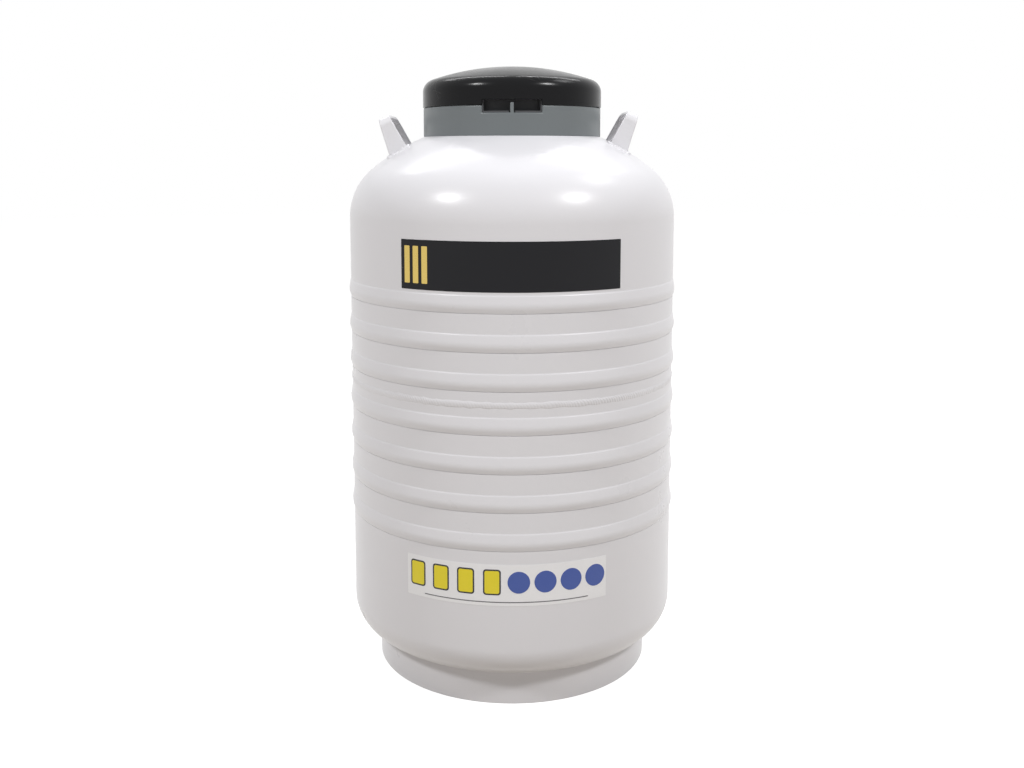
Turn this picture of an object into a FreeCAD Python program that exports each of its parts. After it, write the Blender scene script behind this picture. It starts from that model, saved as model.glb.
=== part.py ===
import FreeCAD, Part
import math
import os
import re

import Sketcher

# A double-walled vessel for samples kept in liquid nitrogen: a ribbed aluminium shell on a
# foot ring, an inner vessel hung from its neck tube, six canisters hung from an index ring,
# and a domed lid that lifts straight off with its neck plug. The origin is on the ground
# under the middle of the foot ring, +Z is up and the lock is at the front, towards -Y.

# Driving sizes, in millimetres and degrees.
SIZES = {
    # outer shell
    "body_radius": 231.0,
    "shell_wall": 3.0,
    "shoulder_height": 638.5,
    "knuckle_radius": 87.0,
    "crown_radius": 316.0,
    "seam_height": 413.0,
    "seam_width": 10.5,
    "seam_rise": 1.3,
    "rib_width": 23.4,
    "rib_rise": 2.6,
    "seam_rib_gap": 28.0,
    "upper_rib_pitch": 49.5,
    "lower_rib_pitch": 50.3,
    "base_knuckle_radius": 47.0,
    "base_knuckle_height": 90.7,
    "base_slope": 7.0,
    # foot ring and vacuum port
    "foot_inset": 36.3,
    "foot_wall": 3.0,
    "port_radius": 16.0,
    "port_wall": 3.0,
    "port_length": 9.0,
    "cap_wall": 2.0,
    "cap_depth": 8.0,
    # neck collar and its lock lug
    "collar_radius": 125.7,
    "collar_wall": 3.0,
    "collar_rise": 40.14,
    "notch_width": 80.6,
    "notch_depth": 9.7,
    "lug_thickness": 5.0,
    "lug_reach": 18.5,
    "lug_foot": 15.0,
    "lug_rise": 3.5,
    "lug_corner": 2.5,
    "shackle_hole_radius": 3.5,
    "shackle_drop": 6.4,
    "shackle_setback": 8.0,
    # neck
    "neck_bore_radius": 62.5,
    "neck_wall": 2.0,
    "neck_drop": 12.5,
    "flange_width": 7.5,
    "flange_lap": 2.1,
    "index_width": 19.5,
    "index_depth": 6.0,
    "index_slot_width": 9.0,
    "index_slot_depth": 3.5,
    # inner vessel and what lies round it
    "vacuum_gap": 30.0,
    "inner_wall": 2.0,
    "inner_top_drop": 78.5,
    "inner_base_drop": 28.7,
    "inner_shoulder_rise": 45.0,
    "inner_shoulder_run": 60.0,
    "inner_corner_rise": 20.0,
    "inner_corner_run": 24.0,
    "wrap_depth": 14.0,
    "wrap_end_gap": 8.0,
    "sieve_radius": 45.0,
    "sieve_depth": 12.0,
    # canisters
    "canister_count": 6,
    "cup_radius": 48.5,
    "cup_wall": 1.2,
    "cup_depth": 276.0,
    "cup_lift": 24.0,
    "cup_side_gap": 4.0,
    "strip_width": 8.0,
    "strip_thickness": 1.5,
    "strip_neck_gap": 2.0,
    "strip_cup_lap": 200.0,
    "crank_rise": 12.0,
    "crank_drop": 14.0,
    "strip_overhang": 15.0,
    "strip_seat_gap": 0.3,
    "grip_width": 14.0,
    "grip_length": 18.0,
    "grip_lap": 11.0,
    "grip_above": 3.0,
    "grip_below": 9.0,
    "locator_width": 12.0,
    "locator_depth": 34.0,
    "locator_end_gap": 24.0,
    # carrying handles
    "handle_span": 112.0,
    "handle_thickness": 4.6,
    "handle_corner": 13.0,
    "left_handle_gap": 31.3,
    "right_handle_gap": 21.5,
    "handle_rise": 52.5,
    "handle_lean": 23.2,
    "handle_foot_width": 27.0,
    "handle_top_width": 16.0,
    "bead_leg": 5.0,
    # lid, liner and plug
    "lid_overhang": 0.8,
    "lid_wall": 3.8,
    "lid_edge_radius": 18.0,
    "lid_crown_radius": 351.0,
    "lid_rise": 58.5,
    "pocket_head_gap": 4.2,
    "pocket_back_gap": 6.1,
    "pocket_wall": 2.0,
    "pocket_side_gap": 0.3,
    "lug_slot_gap": 1.5,
    "liner_thickness": 5.0,
    "liner_gap": 0.5,
    "liner_grip_gap": 0.7,
    "plug_gap": 6.5,
    "plug_length": 136.0,
    "plug_chamfer": 4.0,
    "screw_head_radius": 4.5,
    "screw_head_depth": 2.4,
    "screw_inset": 17.5,
    "screw_count": 4,
}

# Sizes that follow from the ones above, each named once and used by every piece it joins.
FORMULAS = {
    # the shoulder is a crown and a knuckle that meet without an edge
    "crown_height": "shoulder_height - sqrt((crown_radius - knuckle_radius)^2"
                    " - (body_radius - knuckle_radius)^2)",
    "crown_angle": "asin((body_radius - knuckle_radius) / (crown_radius - knuckle_radius))",
    "rib_radius": "((rib_width / 2)^2 + rib_rise^2) / (2 * rib_rise)",
    "seam_radius": "((seam_width / 2)^2 + seam_rise^2) / (2 * seam_rise)",
    "foot_radius": "body_radius - foot_inset",
    "base_knuckle_centre": "body_radius - base_knuckle_radius",
    "base_edge_radius": "base_knuckle_centre + base_knuckle_radius * sin(base_slope)",
    "base_edge_height": "base_knuckle_height - base_knuckle_radius * cos(base_slope)",
    "base_height": "base_edge_height - (base_edge_radius - port_radius) * tan(base_slope)",
    # the collar stands on the crown, and carries the lug and the neck's heights
    "collar_top": "crown_height + sqrt(crown_radius^2 - collar_radius^2) + collar_rise",
    "notch_height": "collar_top - notch_depth",
    "lug_front": "collar_radius - 0.1",
    "lug_top": "collar_top + lug_rise",
    "shackle_height": "lug_top - shackle_drop",
    "neck_top": "collar_top - neck_drop",
    "neck_tube_radius": "neck_bore_radius + neck_wall",
    "flange_radius": "neck_tube_radius + flange_width",
    "index_radius": "neck_bore_radius + index_width",
    "slot_floor": "neck_top + index_depth - index_slot_depth",
    # the inner vessel keeps its gap to the shell, and the cups theirs to the inner vessel
    "inner_radius": "body_radius - shell_wall - vacuum_gap",
    "inner_top": "shoulder_height - inner_top_drop",
    "inner_base": "base_knuckle_height - inner_base_drop",
    "locator_radius": "inner_radius - inner_corner_run - locator_end_gap",
    "cup_ring": "inner_radius - inner_wall - cup_side_gap - cup_radius",
    "cup_base": "inner_base + cup_lift",
    "strip_neck_radius": "neck_bore_radius - strip_neck_gap",
    "strip_end_radius": "index_radius + strip_overhang",
    "strip_rest": "slot_floor + strip_seat_gap",
    # the handles are welded on by hand, each at its own gap from the collar
    "left_foot_radius": "collar_radius + left_handle_gap",
    "right_foot_radius": "collar_radius + right_handle_gap",
    # the lid closes on the collar, and its liner and plug hang clear of the grips and strips
    "lid_radius": "collar_radius + lid_overhang",
    "lid_apex": "collar_top + lid_rise",
    "lid_edge_centre": "lid_radius - lid_edge_radius",
    "lid_crown_height": "lid_apex - lid_crown_radius",
    "lid_edge_height": "lid_crown_height + sqrt((lid_crown_radius - lid_edge_radius)^2"
                       " - lid_edge_centre^2)",
    "lid_edge_angle": "asin(lid_edge_centre / (lid_crown_radius - lid_edge_radius))",
    "pocket_half": "notch_width / 2 - pocket_side_gap",
    "pocket_floor": "notch_height + pocket_side_gap",
    "pocket_height": "lug_top + pocket_head_gap",
    "pocket_back": "lug_front - lug_reach - pocket_back_gap",
    "liner_base": "strip_rest + strip_thickness + grip_above + liner_grip_gap",
    "plug_radius": "neck_bore_radius - plug_gap",
    "screw_circle_radius": "lid_radius - screw_inset",
}

os.makedirs("parts", exist_ok=True)
doc = FreeCAD.newDocument("storage_vessel")
sheet = doc.addObject("Spreadsheet::Sheet", "Sizes")
for row, (alias, size) in enumerate(SIZES.items(), start=1):
    sheet.set(f"A{row}", alias)
    sheet.set(f"B{row}", str(size))
    sheet.setAlias(f"B{row}", alias)
doc.recompute()


# Formulas and sketches.

def expand(text):
    """Write a formula in full, down to the cells of the sheet."""
    def cell(match):
        word = match.group(0)
        if word in SIZES:
            return f"Sizes.{word}"
        if word in FORMULAS:
            return f"({expand(FORMULAS[word])})"
        return word
    return re.sub(r"[a-z_]+", cell, str(text))


def value(text):
    """The number that a formula gives with the present sizes."""
    found = sheet.evalExpression(expand(text))
    return float(getattr(found, "Value", found))


def bind(feature, **formulas):
    for name, text in formulas.items():
        feature.setExpression(name, expand(text))


def new_body(label):
    body = doc.addObject("PartDesign::Body", label)
    body.Label = label
    return body


def new_sketch(body, name, plane, offset=None):
    sketch = body.newObject("Sketcher::SketchObject", name)
    support = next(item for item in body.Origin.OriginFeatures if item.Role == plane)
    sketch.AttachmentSupport = [(support, "")]
    sketch.MapMode = "FlatFace"
    if offset is not None:
        sketch.setExpression(".AttachmentOffset.Base.z", expand(offset))
    return sketch


def arc_between(start, end, radius, turn):
    """The short arc from start to end: turn is 1 anticlockwise and -1 clockwise."""
    chord = end - start
    away = math.sqrt(max(radius ** 2 - (chord.Length / 2) ** 2, 0.0))
    normal = FreeCAD.Vector(-chord.y, chord.x, 0).normalize()
    centre = (start + end) * 0.5 + normal * (away * turn)
    first, last = (start, end) if turn > 0 else (end, start)
    angles = [math.atan2(p.y - centre.y, p.x - centre.x) for p in (first, last)]
    circle = Part.Circle(centre, FreeCAD.Vector(0, 0, 1), radius)
    return Part.ArcOfCircle(circle, angles[0], angles[1])


def pin_point(sketch, geometry, point, axis, text):
    """Hold one coordinate of a point at the distance that a formula gives."""
    if str(text) == "0":
        line = -2 if axis == "X" else -1
        sketch.addConstraint(Sketcher.Constraint("PointOnObject", geometry, point, line))
        return
    kind = f"Distance{axis}"
    held = Sketcher.Constraint(kind, -1, 1, geometry, point, value(text))
    index = sketch.addConstraint(held)
    sketch.setExpression(f"Constraints[{index}]", expand(text))


def draw(sketch, corners):
    """Close an outline: a corner is (x, y), or (x, y, radius, turn) where an arc starts."""
    places = [FreeCAD.Vector(value(c[0]), value(c[1]), 0) for c in corners]
    ends = []
    for number, corner in enumerate(corners):
        start, end = places[number], places[(number + 1) % len(places)]
        if len(corner) == 2:
            index = sketch.addGeometry(Part.LineSegment(start, end))
            ends.append((index, 1, 2))
            continue
        radius, turn = corner[2], corner[3]
        index = sketch.addGeometry(arc_between(start, end, value(radius), turn))
        ends.append((index, 1, 2) if turn > 0 else (index, 2, 1))
    for number, (index, first, last) in enumerate(ends):
        following = ends[(number + 1) % len(ends)]
        joint = Sketcher.Constraint("Coincident", index, last, following[0], following[1])
        sketch.addConstraint(joint)
    for corner, (index, first, last) in zip(corners, ends):
        pin_point(sketch, index, first, "X", corner[0])
        pin_point(sketch, index, first, "Y", corner[1])
        if len(corner) == 4:
            size = Sketcher.Constraint("Radius", index, value(corner[2]))
            held = sketch.addConstraint(size)
            sketch.setExpression(f"Constraints[{held}]", expand(corner[2]))
    doc.recompute()


def draw_circle(sketch, x, y, radius):
    centre = FreeCAD.Vector(value(x), value(y), 0)
    circle = Part.Circle(centre, FreeCAD.Vector(0, 0, 1), value(radius))
    index = sketch.addGeometry(circle)
    pin_point(sketch, index, 3, "X", x)
    pin_point(sketch, index, 3, "Y", y)
    held = sketch.addConstraint(Sketcher.Constraint("Radius", index, value(radius)))
    sketch.setExpression(f"Constraints[{held}]", expand(radius))


def revolve(body, corners):
    """Turn an outline of (radius, height) corners about the body's upright axis."""
    sketch = new_sketch(body, f"{body.Label}_profile", "XZ_Plane")
    draw(sketch, corners)
    feature = body.newObject("PartDesign::Revolution", f"{body.Label}_turned")
    feature.Profile = sketch
    feature.ReferenceAxis = (sketch, ["V_Axis"])
    feature.Angle = 360
    sketch.Visibility = False
    doc.recompute()
    return feature


def turned_body(label, corners):
    body = new_body(label)
    revolve(body, corners)
    return body


def pad(body, sketch, length, symmetric=False, reverse=False):
    feature = body.newObject("PartDesign::Pad", f"{sketch.Name}_pad")
    feature.Profile = sketch
    if symmetric:
        feature.SideType = "Symmetric"
    feature.Reversed = reverse
    bind(feature, Length=length)
    doc.recompute()
    return feature


def pocket(body, sketch, length, reverse=False):
    """Cut an outline into the body, and see that the cut took something away."""
    before = body.Shape.Volume
    feature = body.newObject("PartDesign::Pocket", f"{sketch.Name}_cut")
    feature.Profile = sketch
    feature.Reversed = reverse
    bind(feature, Length=length)
    doc.recompute()
    if body.Shape.Volume > before - 1.0:
        raise ValueError(f"{feature.Name} cuts nothing")
    return feature


def repeat_round(body, feature, count):
    """Repeat a feature evenly about the body's upright axis."""
    pattern = body.newObject("PartDesign::PolarPattern", f"{feature.Name}_round")
    pattern.Originals = [feature]
    pattern.Axis = (body.Origin.OriginFeatures[2], [""])
    pattern.Angle = 360
    bind(pattern, Occurrences=count)
    body.Tip = pattern
    doc.recompute()
    return pattern


# Outer shell.

def rib_corners(height):
    """The outline of one rolled rib, drawn upwards along the shell's outer side."""
    return [
        ("body_radius", f"{height} - rib_width / 2", "rib_radius", 1),
        ("body_radius", f"{height} + rib_width / 2"),
    ]


def crown_at(angle, inset):
    """A corner on the crown, at an angle from upright and an inset from its outer face."""
    return (f"(crown_radius - {inset}) * sin({angle})",
            f"crown_height + (crown_radius - {inset}) * cos({angle})")


def knuckle_at(angle, inset):
    """A corner on the knuckle, at an angle from upright and an inset from its outer face."""
    return (f"body_radius - knuckle_radius + (knuckle_radius - {inset}) * sin({angle})",
            f"shoulder_height + (knuckle_radius - {inset}) * cos({angle})")


def height_on_crown(radius, inset=0):
    return f"crown_height + sqrt((crown_radius - {inset})^2 - ({radius})^2)"


def make_upper_shell():
    """The spun shoulder and the upper half of the ribbed side, as one shell."""
    ribs = []
    for number in (0, 1, 2):
        ribs += rib_corners(f"(seam_height + seam_rib_gap + {number} * upper_rib_pitch)")
    hole = ("flange_radius", height_on_crown("flange_radius"))
    hole_inside = ("flange_radius", height_on_crown("flange_radius", "shell_wall"))
    middle_of_crown = "(crown_angle + asin(flange_radius / crown_radius)) / 2"
    middle_of_knuckle = "(90 deg + crown_angle) / 2"
    turned_body("upper_shell", [
        ("body_radius", "seam_height"),
        *ribs,
        ("body_radius", "shoulder_height", "knuckle_radius", 1),
        (*crown_at("crown_angle", 0), "crown_radius", 1),
        hole,
        hole_inside,
        crown_at(middle_of_crown, "shell_wall"),
        crown_at("crown_angle", "shell_wall"),
        knuckle_at(middle_of_knuckle, "shell_wall"),
        ("body_radius - shell_wall", "shoulder_height"),
        ("body_radius - shell_wall", "seam_height"),
    ])


def base_knuckle_at(angle, inset):
    """A corner on the lower knuckle, at an angle below level."""
    return (f"base_knuckle_centre + (base_knuckle_radius - {inset}) * cos({angle})",
            f"base_knuckle_height - (base_knuckle_radius - {inset}) * sin({angle})")


def make_lower_shell():
    """The lower half of the ribbed side with its base, which slopes to the vacuum port."""
    ribs = []
    for number in (3, 2, 1, 0):
        ribs += rib_corners(f"(seam_height - seam_rib_gap - {number} * lower_rib_pitch)")
    turned_body("lower_shell", [
        ("port_radius", "base_height"),
        ("base_edge_radius", "base_edge_height", "base_knuckle_radius", 1),
        ("body_radius", "base_knuckle_height"),
        *ribs,
        ("body_radius", "seam_height"),
        ("body_radius - shell_wall", "seam_height"),
        ("body_radius - shell_wall", "base_knuckle_height"),
        base_knuckle_at("(90 - base_slope) / 2", "shell_wall"),
        base_knuckle_at("90 - base_slope", "shell_wall"),
        ("port_radius", "base_height + shell_wall / cos(base_slope)"),
    ])


def make_girth_weld():
    """The weld bead over the seam between the two shells."""
    turned_body("girth_weld", [
        ("body_radius", "seam_height - seam_width / 2", "seam_radius", 1),
        ("body_radius", "seam_height + seam_width / 2"),
    ])


def height_on_base_knuckle(radius):
    return (f"base_knuckle_height - sqrt(base_knuckle_radius^2"
            f" - ({radius} - base_knuckle_centre)^2)")


def make_foot_ring():
    """The ring that the vessel stands on, trimmed to the shell's lower knuckle."""
    inner = "foot_radius - foot_wall"
    turned_body("foot_ring", [
        (inner, "0"),
        ("foot_radius", "0"),
        ("foot_radius", height_on_base_knuckle("foot_radius"), "base_knuckle_radius", -1),
        (inner, height_on_base_knuckle(inner)),
    ])


def make_vacuum_port():
    """The pump-out stub in the middle of the base, and the cap pushed over it."""
    low = "base_height - port_length"
    cap_inner = "port_radius + 0.1"
    turned_body("vacuum_port", [
        ("port_radius - port_wall", low),
        ("port_radius", low),
        ("port_radius", "base_height + shell_wall"),
        ("port_radius - port_wall", "base_height + shell_wall"),
    ])
    turned_body("port_cap", [
        ("0", f"{low} - cap_wall"),
        (f"{cap_inner} + cap_wall", f"{low} - cap_wall"),
        (f"{cap_inner} + cap_wall", f"{low} - cap_wall + cap_depth"),
        (cap_inner, f"{low} - cap_wall + cap_depth"),
        (cap_inner, low),
        ("0", low),
    ])


# Neck.

def make_neck_collar():
    """The ring on the shoulder that guards the neck, with the lock's notch at its front."""
    inner = "collar_radius - collar_wall"
    body = turned_body("neck_collar", [
        (inner, height_on_crown(inner)),
        ("collar_radius", height_on_crown("collar_radius")),
        ("collar_radius", "collar_top"),
        (inner, "collar_top"),
    ])
    notch = new_sketch(body, "lock_notch", "XZ_Plane")
    above = "collar_top + notch_depth"
    low = "notch_height - lug_foot"
    draw(notch, [
        ("-notch_width / 2", above),
        ("-notch_width / 2", "notch_height"),
        ("-lug_thickness / 2", "notch_height"),
        ("-lug_thickness / 2", low),
        ("lug_thickness / 2", low),
        ("lug_thickness / 2", "notch_height"),
        ("notch_width / 2", "notch_height"),
        ("notch_width / 2", above),
    ])
    pocket(body, notch, "collar_radius + collar_wall", reverse=True)


def make_lock_lug():
    """The plate that takes the padlock: welded in the collar and standing in its notch."""
    body = new_body("lock_lug")
    outline = new_sketch(body, "lug_outline", "YZ_Plane")
    front = "-lug_front"
    back = "-lug_front + lug_reach"
    low = "notch_height - lug_foot"
    draw(outline, [
        (front, low),
        (back, low),
        (back, "lug_top - lug_corner", "lug_corner", 1),
        (f"{back} - lug_corner", "lug_top"),
        (f"{front} + lug_corner / 2", "lug_top", "lug_corner / 2", 1),
        (front, "lug_top - lug_corner / 2"),
    ])
    draw_circle(outline, f"{front} + shackle_setback", "shackle_height", "shackle_hole_radius")
    pad(body, outline, "lug_thickness", symmetric=True)


def make_neck():
    """The flange welded into the shoulder, and the tube that hangs the inner vessel in it."""
    low = f"{height_on_crown('flange_radius')} - shell_wall - flange_lap"
    turned_body("neck_flange", [
        ("neck_tube_radius", low),
        ("flange_radius", low),
        ("flange_radius", "neck_top"),
        ("neck_tube_radius", "neck_top"),
    ])
    turned_body("neck_tube", [
        ("neck_bore_radius", "inner_top - inner_wall"),
        ("neck_tube_radius", "inner_top - inner_wall"),
        ("neck_tube_radius", "neck_top"),
        ("neck_bore_radius", "neck_top"),
    ])


def make_index_ring():
    """The ring on the neck's rim whose slots keep the six canister strips apart."""
    body = turned_body("index_ring", [
        ("neck_bore_radius", "neck_top"),
        ("index_radius", "neck_top"),
        ("index_radius", "neck_top + index_depth"),
        ("neck_bore_radius", "neck_top + index_depth"),
    ])
    slot = new_sketch(body, "strip_slot", "YZ_Plane")
    above = "neck_top + 2 * index_depth"
    draw(slot, [
        ("-index_slot_width / 2", "slot_floor"),
        ("index_slot_width / 2", "slot_floor"),
        ("index_slot_width / 2", above),
        ("-index_slot_width / 2", above),
    ])
    cut = pocket(body, slot, "2 * index_radius", reverse=True)
    repeat_round(body, cut, "canister_count")


# Inner vessel.

def make_inner_vessel():
    """The vessel that holds the liquid, with sloped ends and the neck's hole in its top."""
    def wall(inset):
        """One side of the wall, from the middle of the base up to the neck's hole."""
        side = f"inner_radius - {inset}"
        return [
            ("0", f"inner_base + {inset}"),
            (f"inner_radius - inner_corner_run - {inset} / 3", f"inner_base + {inset}"),
            (side, f"inner_base + inner_corner_rise + {inset} / 3"),
            (side, f"inner_top - inner_shoulder_rise - {inset} / 3"),
            (f"inner_radius - inner_shoulder_run - {inset} / 3", f"inner_top - {inset}"),
            ("neck_tube_radius", f"inner_top - {inset}"),
        ]
    turned_body("inner_vessel", wall("0") + wall("inner_wall")[::-1])


def make_insulation():
    """The wrapped insulation round the inner vessel, and the sieve pack under it."""
    low = "inner_base + inner_corner_rise + wrap_end_gap"
    high = "inner_top - inner_shoulder_rise - wrap_end_gap"
    turned_body("insulation_wrap", [
        ("inner_radius", low),
        ("inner_radius + wrap_depth", low),
        ("inner_radius + wrap_depth", high),
        ("inner_radius", high),
    ])
    turned_body("sieve_pack", [
        ("0", "inner_base - sieve_depth"),
        ("sieve_radius", "inner_base - sieve_depth"),
        ("sieve_radius", "inner_base"),
        ("0", "inner_base"),
    ])


def make_locator():
    """The star of three bars on the floor of the inner vessel that spaces the canisters."""
    body = new_body("canister_locator")
    bar = new_sketch(body, "locator_bar", "XY_Plane", "inner_base + inner_wall")
    draw(bar, [
        ("-locator_width / 2", "-locator_radius"),
        ("locator_width / 2", "-locator_radius"),
        ("locator_width / 2", "locator_radius"),
        ("-locator_width / 2", "locator_radius"),
    ])
    first = pad(body, bar, "locator_depth")
    repeat_round(body, first, "canister_count")


# Canisters.

def make_canister(number):
    """One open cup and the strip that hangs it from its slot in the index ring."""
    body = turned_body(f"canister_{number}", [
        ("0", "cup_base"),
        ("cup_radius", "cup_base"),
        ("cup_radius", "cup_base + cup_depth"),
        ("cup_radius - cup_wall", "cup_base + cup_depth"),
        ("cup_radius - cup_wall", "cup_base + cup_wall"),
        ("0", "cup_base + cup_wall"),
    ])
    strip = new_sketch(body, f"strip_{number}", "XZ_Plane")
    by_cup = "-(cup_radius - cup_wall / 2)"
    in_neck = "strip_neck_radius - cup_ring"
    low = "cup_base + cup_depth - strip_cup_lap"
    crank_low = "cup_base + cup_depth + crank_rise"
    crank_high = "inner_top - inner_wall - crank_drop"
    draw(strip, [
        (by_cup, low),
        (by_cup, crank_low),
        (in_neck, crank_high),
        (in_neck, "strip_rest"),
        ("strip_end_radius - cup_ring", "strip_rest"),
        ("strip_end_radius - cup_ring", "strip_rest + strip_thickness"),
        (f"{in_neck} - strip_thickness", "strip_rest + strip_thickness"),
        (f"{in_neck} - strip_thickness", crank_high),
        (f"{by_cup} - strip_thickness", crank_low),
        (f"{by_cup} - strip_thickness", low),
    ])
    pad(body, strip, "strip_width", symmetric=True)
    place_round(body, number)


def make_grip(number):
    """The moulded grip on the outer end of a canister's strip."""
    body = new_body(f"canister_grip_{number}")
    outline = new_sketch(body, f"grip_outline_{number}", "XZ_Plane")
    inner = "strip_end_radius - grip_lap - cup_ring"
    outer = f"{inner} + grip_length"
    end = "strip_end_radius - cup_ring"
    low = "strip_rest - grip_below"
    high = "strip_rest + strip_thickness + grip_above"
    draw(outline, [
        (inner, "strip_rest - grip_above"),
        (f"{outer} - grip_above", low),
        (outer, low),
        (outer, high),
        (inner, high),
        (inner, "strip_rest + strip_thickness"),
        (end, "strip_rest + strip_thickness"),
        (end, "strip_rest"),
        (inner, "strip_rest"),
    ])
    pad(body, outline, "grip_width", symmetric=True)
    place_round(body, number)


def place_round(body, number):
    """Stand a body on the canisters' ring, in its turn about the vessel's axis."""
    angle = f"({number} - 1) * 360 / canister_count"
    bind(body, **{
        ".Placement.Base.x": f"cup_ring * cos({angle})",
        ".Placement.Base.y": f"cup_ring * sin({angle})",
        ".Placement.Rotation.Angle": angle,
    })


# Carrying handles.

def make_handle(side):
    """A bent strap that narrows towards its top, and the weld beads round its two feet."""
    strap = f"strap_{side}"
    outline = doc.addObject("Sketcher::SketchObject", f"{strap}_outline")
    half = "handle_span / 2"
    root = "-handle_foot_width"
    inner = f"({half} - handle_thickness)"
    bend = "(handle_corner - handle_thickness)"
    draw(outline, [
        (f"-{half}", root),
        (f"-{inner}", root),
        (f"-{inner}", "handle_rise - handle_corner", bend, -1),
        (f"-({half} - handle_corner)", "handle_rise - handle_thickness"),
        (f"{half} - handle_corner", "handle_rise - handle_thickness", bend, -1),
        (inner, "handle_rise - handle_corner"),
        (inner, root),
        (half, root),
        (half, "handle_rise - handle_corner", "handle_corner", 1),
        (f"{half} - handle_corner", "handle_rise"),
        (f"-({half} - handle_corner)", "handle_rise", "handle_corner", 1),
        (f"-{half}", "handle_rise - handle_corner"),
    ])
    taper = doc.addObject("Sketcher::SketchObject", f"{strap}_taper")
    slope = "((handle_foot_width - handle_top_width) / 2 / handle_rise)"
    low = f"handle_foot_width / 2 + handle_foot_width * {slope}"
    high = "handle_top_width / 2"
    draw(taper, [
        (f"-({low})", root),
        (low, root),
        (high, "handle_rise"),
        (f"-({high})", "handle_rise"),
    ])
    bent = lean(extrude(outline, f"{strap}_bent", "handle_foot_width * 2"), side, 90)
    edged = lean(extrude(taper, f"{strap}_edged", "handle_span * 1.2"), side, 0)
    blank = join("Part::MultiCommon", f"{strap}_blank", [bent, edged])
    shoulder = make_shoulder_ball(f"{strap}_shoulder")
    cut(f"handle_{side}", blank, shoulder)

    feet = [make_foot_bead(f"{strap}_bead_{end}", side, sign) for end, sign in
            (("front", "-1"), ("rear", "1"))]
    beads = join("Part::MultiFuse", f"{strap}_beads", feet)
    fitted = cut(f"{strap}_beads_round_strap", beads, blank)
    cut(f"handle_beads_{side}", fitted, make_shoulder_ball(f"{strap}_bead_shoulder"))


def extrude(sketch, name, length):
    feature = doc.addObject("Part::Extrusion", name)
    feature.Base = sketch
    feature.DirMode = "Normal"
    feature.Solid = True
    feature.Symmetric = True
    bind(feature, LengthFwd=length)
    return feature


def lean(feature, side, spin):
    """Stand a feature at a handle's foot, where its legs meet the crown, leaning outwards."""
    upright = FreeCAD.Rotation(FreeCAD.Vector(1, 0, 0), 90)
    spun = FreeCAD.Rotation(FreeCAD.Vector(0, 0, 1), spin)
    tilted = FreeCAD.Rotation(FreeCAD.Vector(0, 1, 0), value("handle_lean"))
    radius = f"{side}_foot_radius"
    leg_radius = f"sqrt({radius}^2 + ((handle_span - handle_thickness) / 2)^2)"
    foot = FreeCAD.Vector(value(radius), 0, value(height_on_crown(leg_radius)))
    turned = FreeCAD.Rotation(FreeCAD.Vector(0, 0, 1), 180 if side == "left" else 0)
    feature.Placement = FreeCAD.Placement(turned.multVec(foot), turned * tilted * spun * upright)
    return feature


def make_foot_bead(name, side, sign):
    """A block with sloping sides round one foot of a handle, before it is trimmed."""
    bead = doc.addObject("Part::Wedge", name)
    across = "handle_foot_width / 2"
    along = "handle_thickness / 2"
    middle = f"{sign} * (handle_span - handle_thickness) / 2"
    bind(bead,
         Xmin=f"-{across} - bead_leg * 3", Xmax=f"{across} + bead_leg * 3",
         Ymin="-handle_foot_width", Ymax="bead_leg",
         Zmin=f"{middle} - {along} - bead_leg * 3", Zmax=f"{middle} + {along} + bead_leg * 3",
         X2min=f"-{across} - 0.5", X2max=f"{across} + 0.5",
         Z2min=f"{middle} - {along} - 0.5", Z2max=f"{middle} + {along} + 0.5")
    return lean(bead, side, 0)


def make_shoulder_ball(name):
    """The ball whose surface is the crown of the shoulder, for trimming what stands on it."""
    ball = doc.addObject("Part::Sphere", name)
    bind(ball, Radius="crown_radius", **{".Placement.Base.z": "crown_height"})
    return ball


def join(kind, name, shapes):
    feature = doc.addObject(kind, name)
    feature.Shapes = shapes
    return feature


def cut(name, base, tool):
    feature = doc.addObject("Part::Cut", name)
    feature.Label = name
    feature.Base = base
    feature.Tool = tool
    doc.recompute()
    return feature


# Lid.

def lid_edge_at(angle, inset):
    """A corner on the lid's rounded edge, at an angle from upright."""
    return (f"lid_edge_centre + (lid_edge_radius - {inset}) * sin({angle})",
            f"lid_edge_height + (lid_edge_radius - {inset}) * cos({angle})")


def make_lid_cover():
    """The domed lid with the lock's pocket let into its front."""
    body = turned_body("lid_cover", [
        ("lid_radius", "collar_top"),
        ("lid_radius", "lid_edge_height", "lid_edge_radius", 1),
        (*lid_edge_at("lid_edge_angle", 0), "lid_crown_radius", 1),
        ("0", "lid_apex"),
        ("0", "lid_apex - lid_wall"),
        lid_edge_at("lid_edge_angle", "lid_wall"),
        ("lid_radius - lid_wall", "lid_edge_height"),
        ("lid_radius - lid_wall", "collar_top"),
    ])
    block = new_sketch(body, "pocket_block", "XY_Plane", "pocket_floor")
    draw(block, pocket_outline("pocket_half", "pocket_back - pocket_wall", "lid_radius"))
    pad(body, block, "pocket_height + pocket_wall - pocket_floor")
    hollow = new_sketch(body, "pocket_hollow", "XY_Plane", "pocket_floor + pocket_wall")
    draw(hollow, [
        ("-pocket_half + pocket_wall", "-pocket_back"),
        ("-pocket_half + pocket_wall", "-lid_radius * 1.1"),
        ("pocket_half - pocket_wall", "-lid_radius * 1.1"),
        ("pocket_half - pocket_wall", "-pocket_back"),
    ])
    pocket(body, hollow, "pocket_height - pocket_floor - pocket_wall", reverse=True)
    slot = new_sketch(body, "pocket_slot", "XY_Plane", "pocket_floor + pocket_wall")
    half = "(lug_thickness / 2 + lug_slot_gap)"
    draw(slot, [
        (f"-{half}", "-lug_front + lug_reach + lug_slot_gap"),
        (f"-{half}", "-lid_radius * 1.1"),
        (half, "-lid_radius * 1.1"),
        (half, "-lug_front + lug_reach + lug_slot_gap"),
    ])
    pocket(body, slot, "pocket_wall * 1.5")


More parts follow.
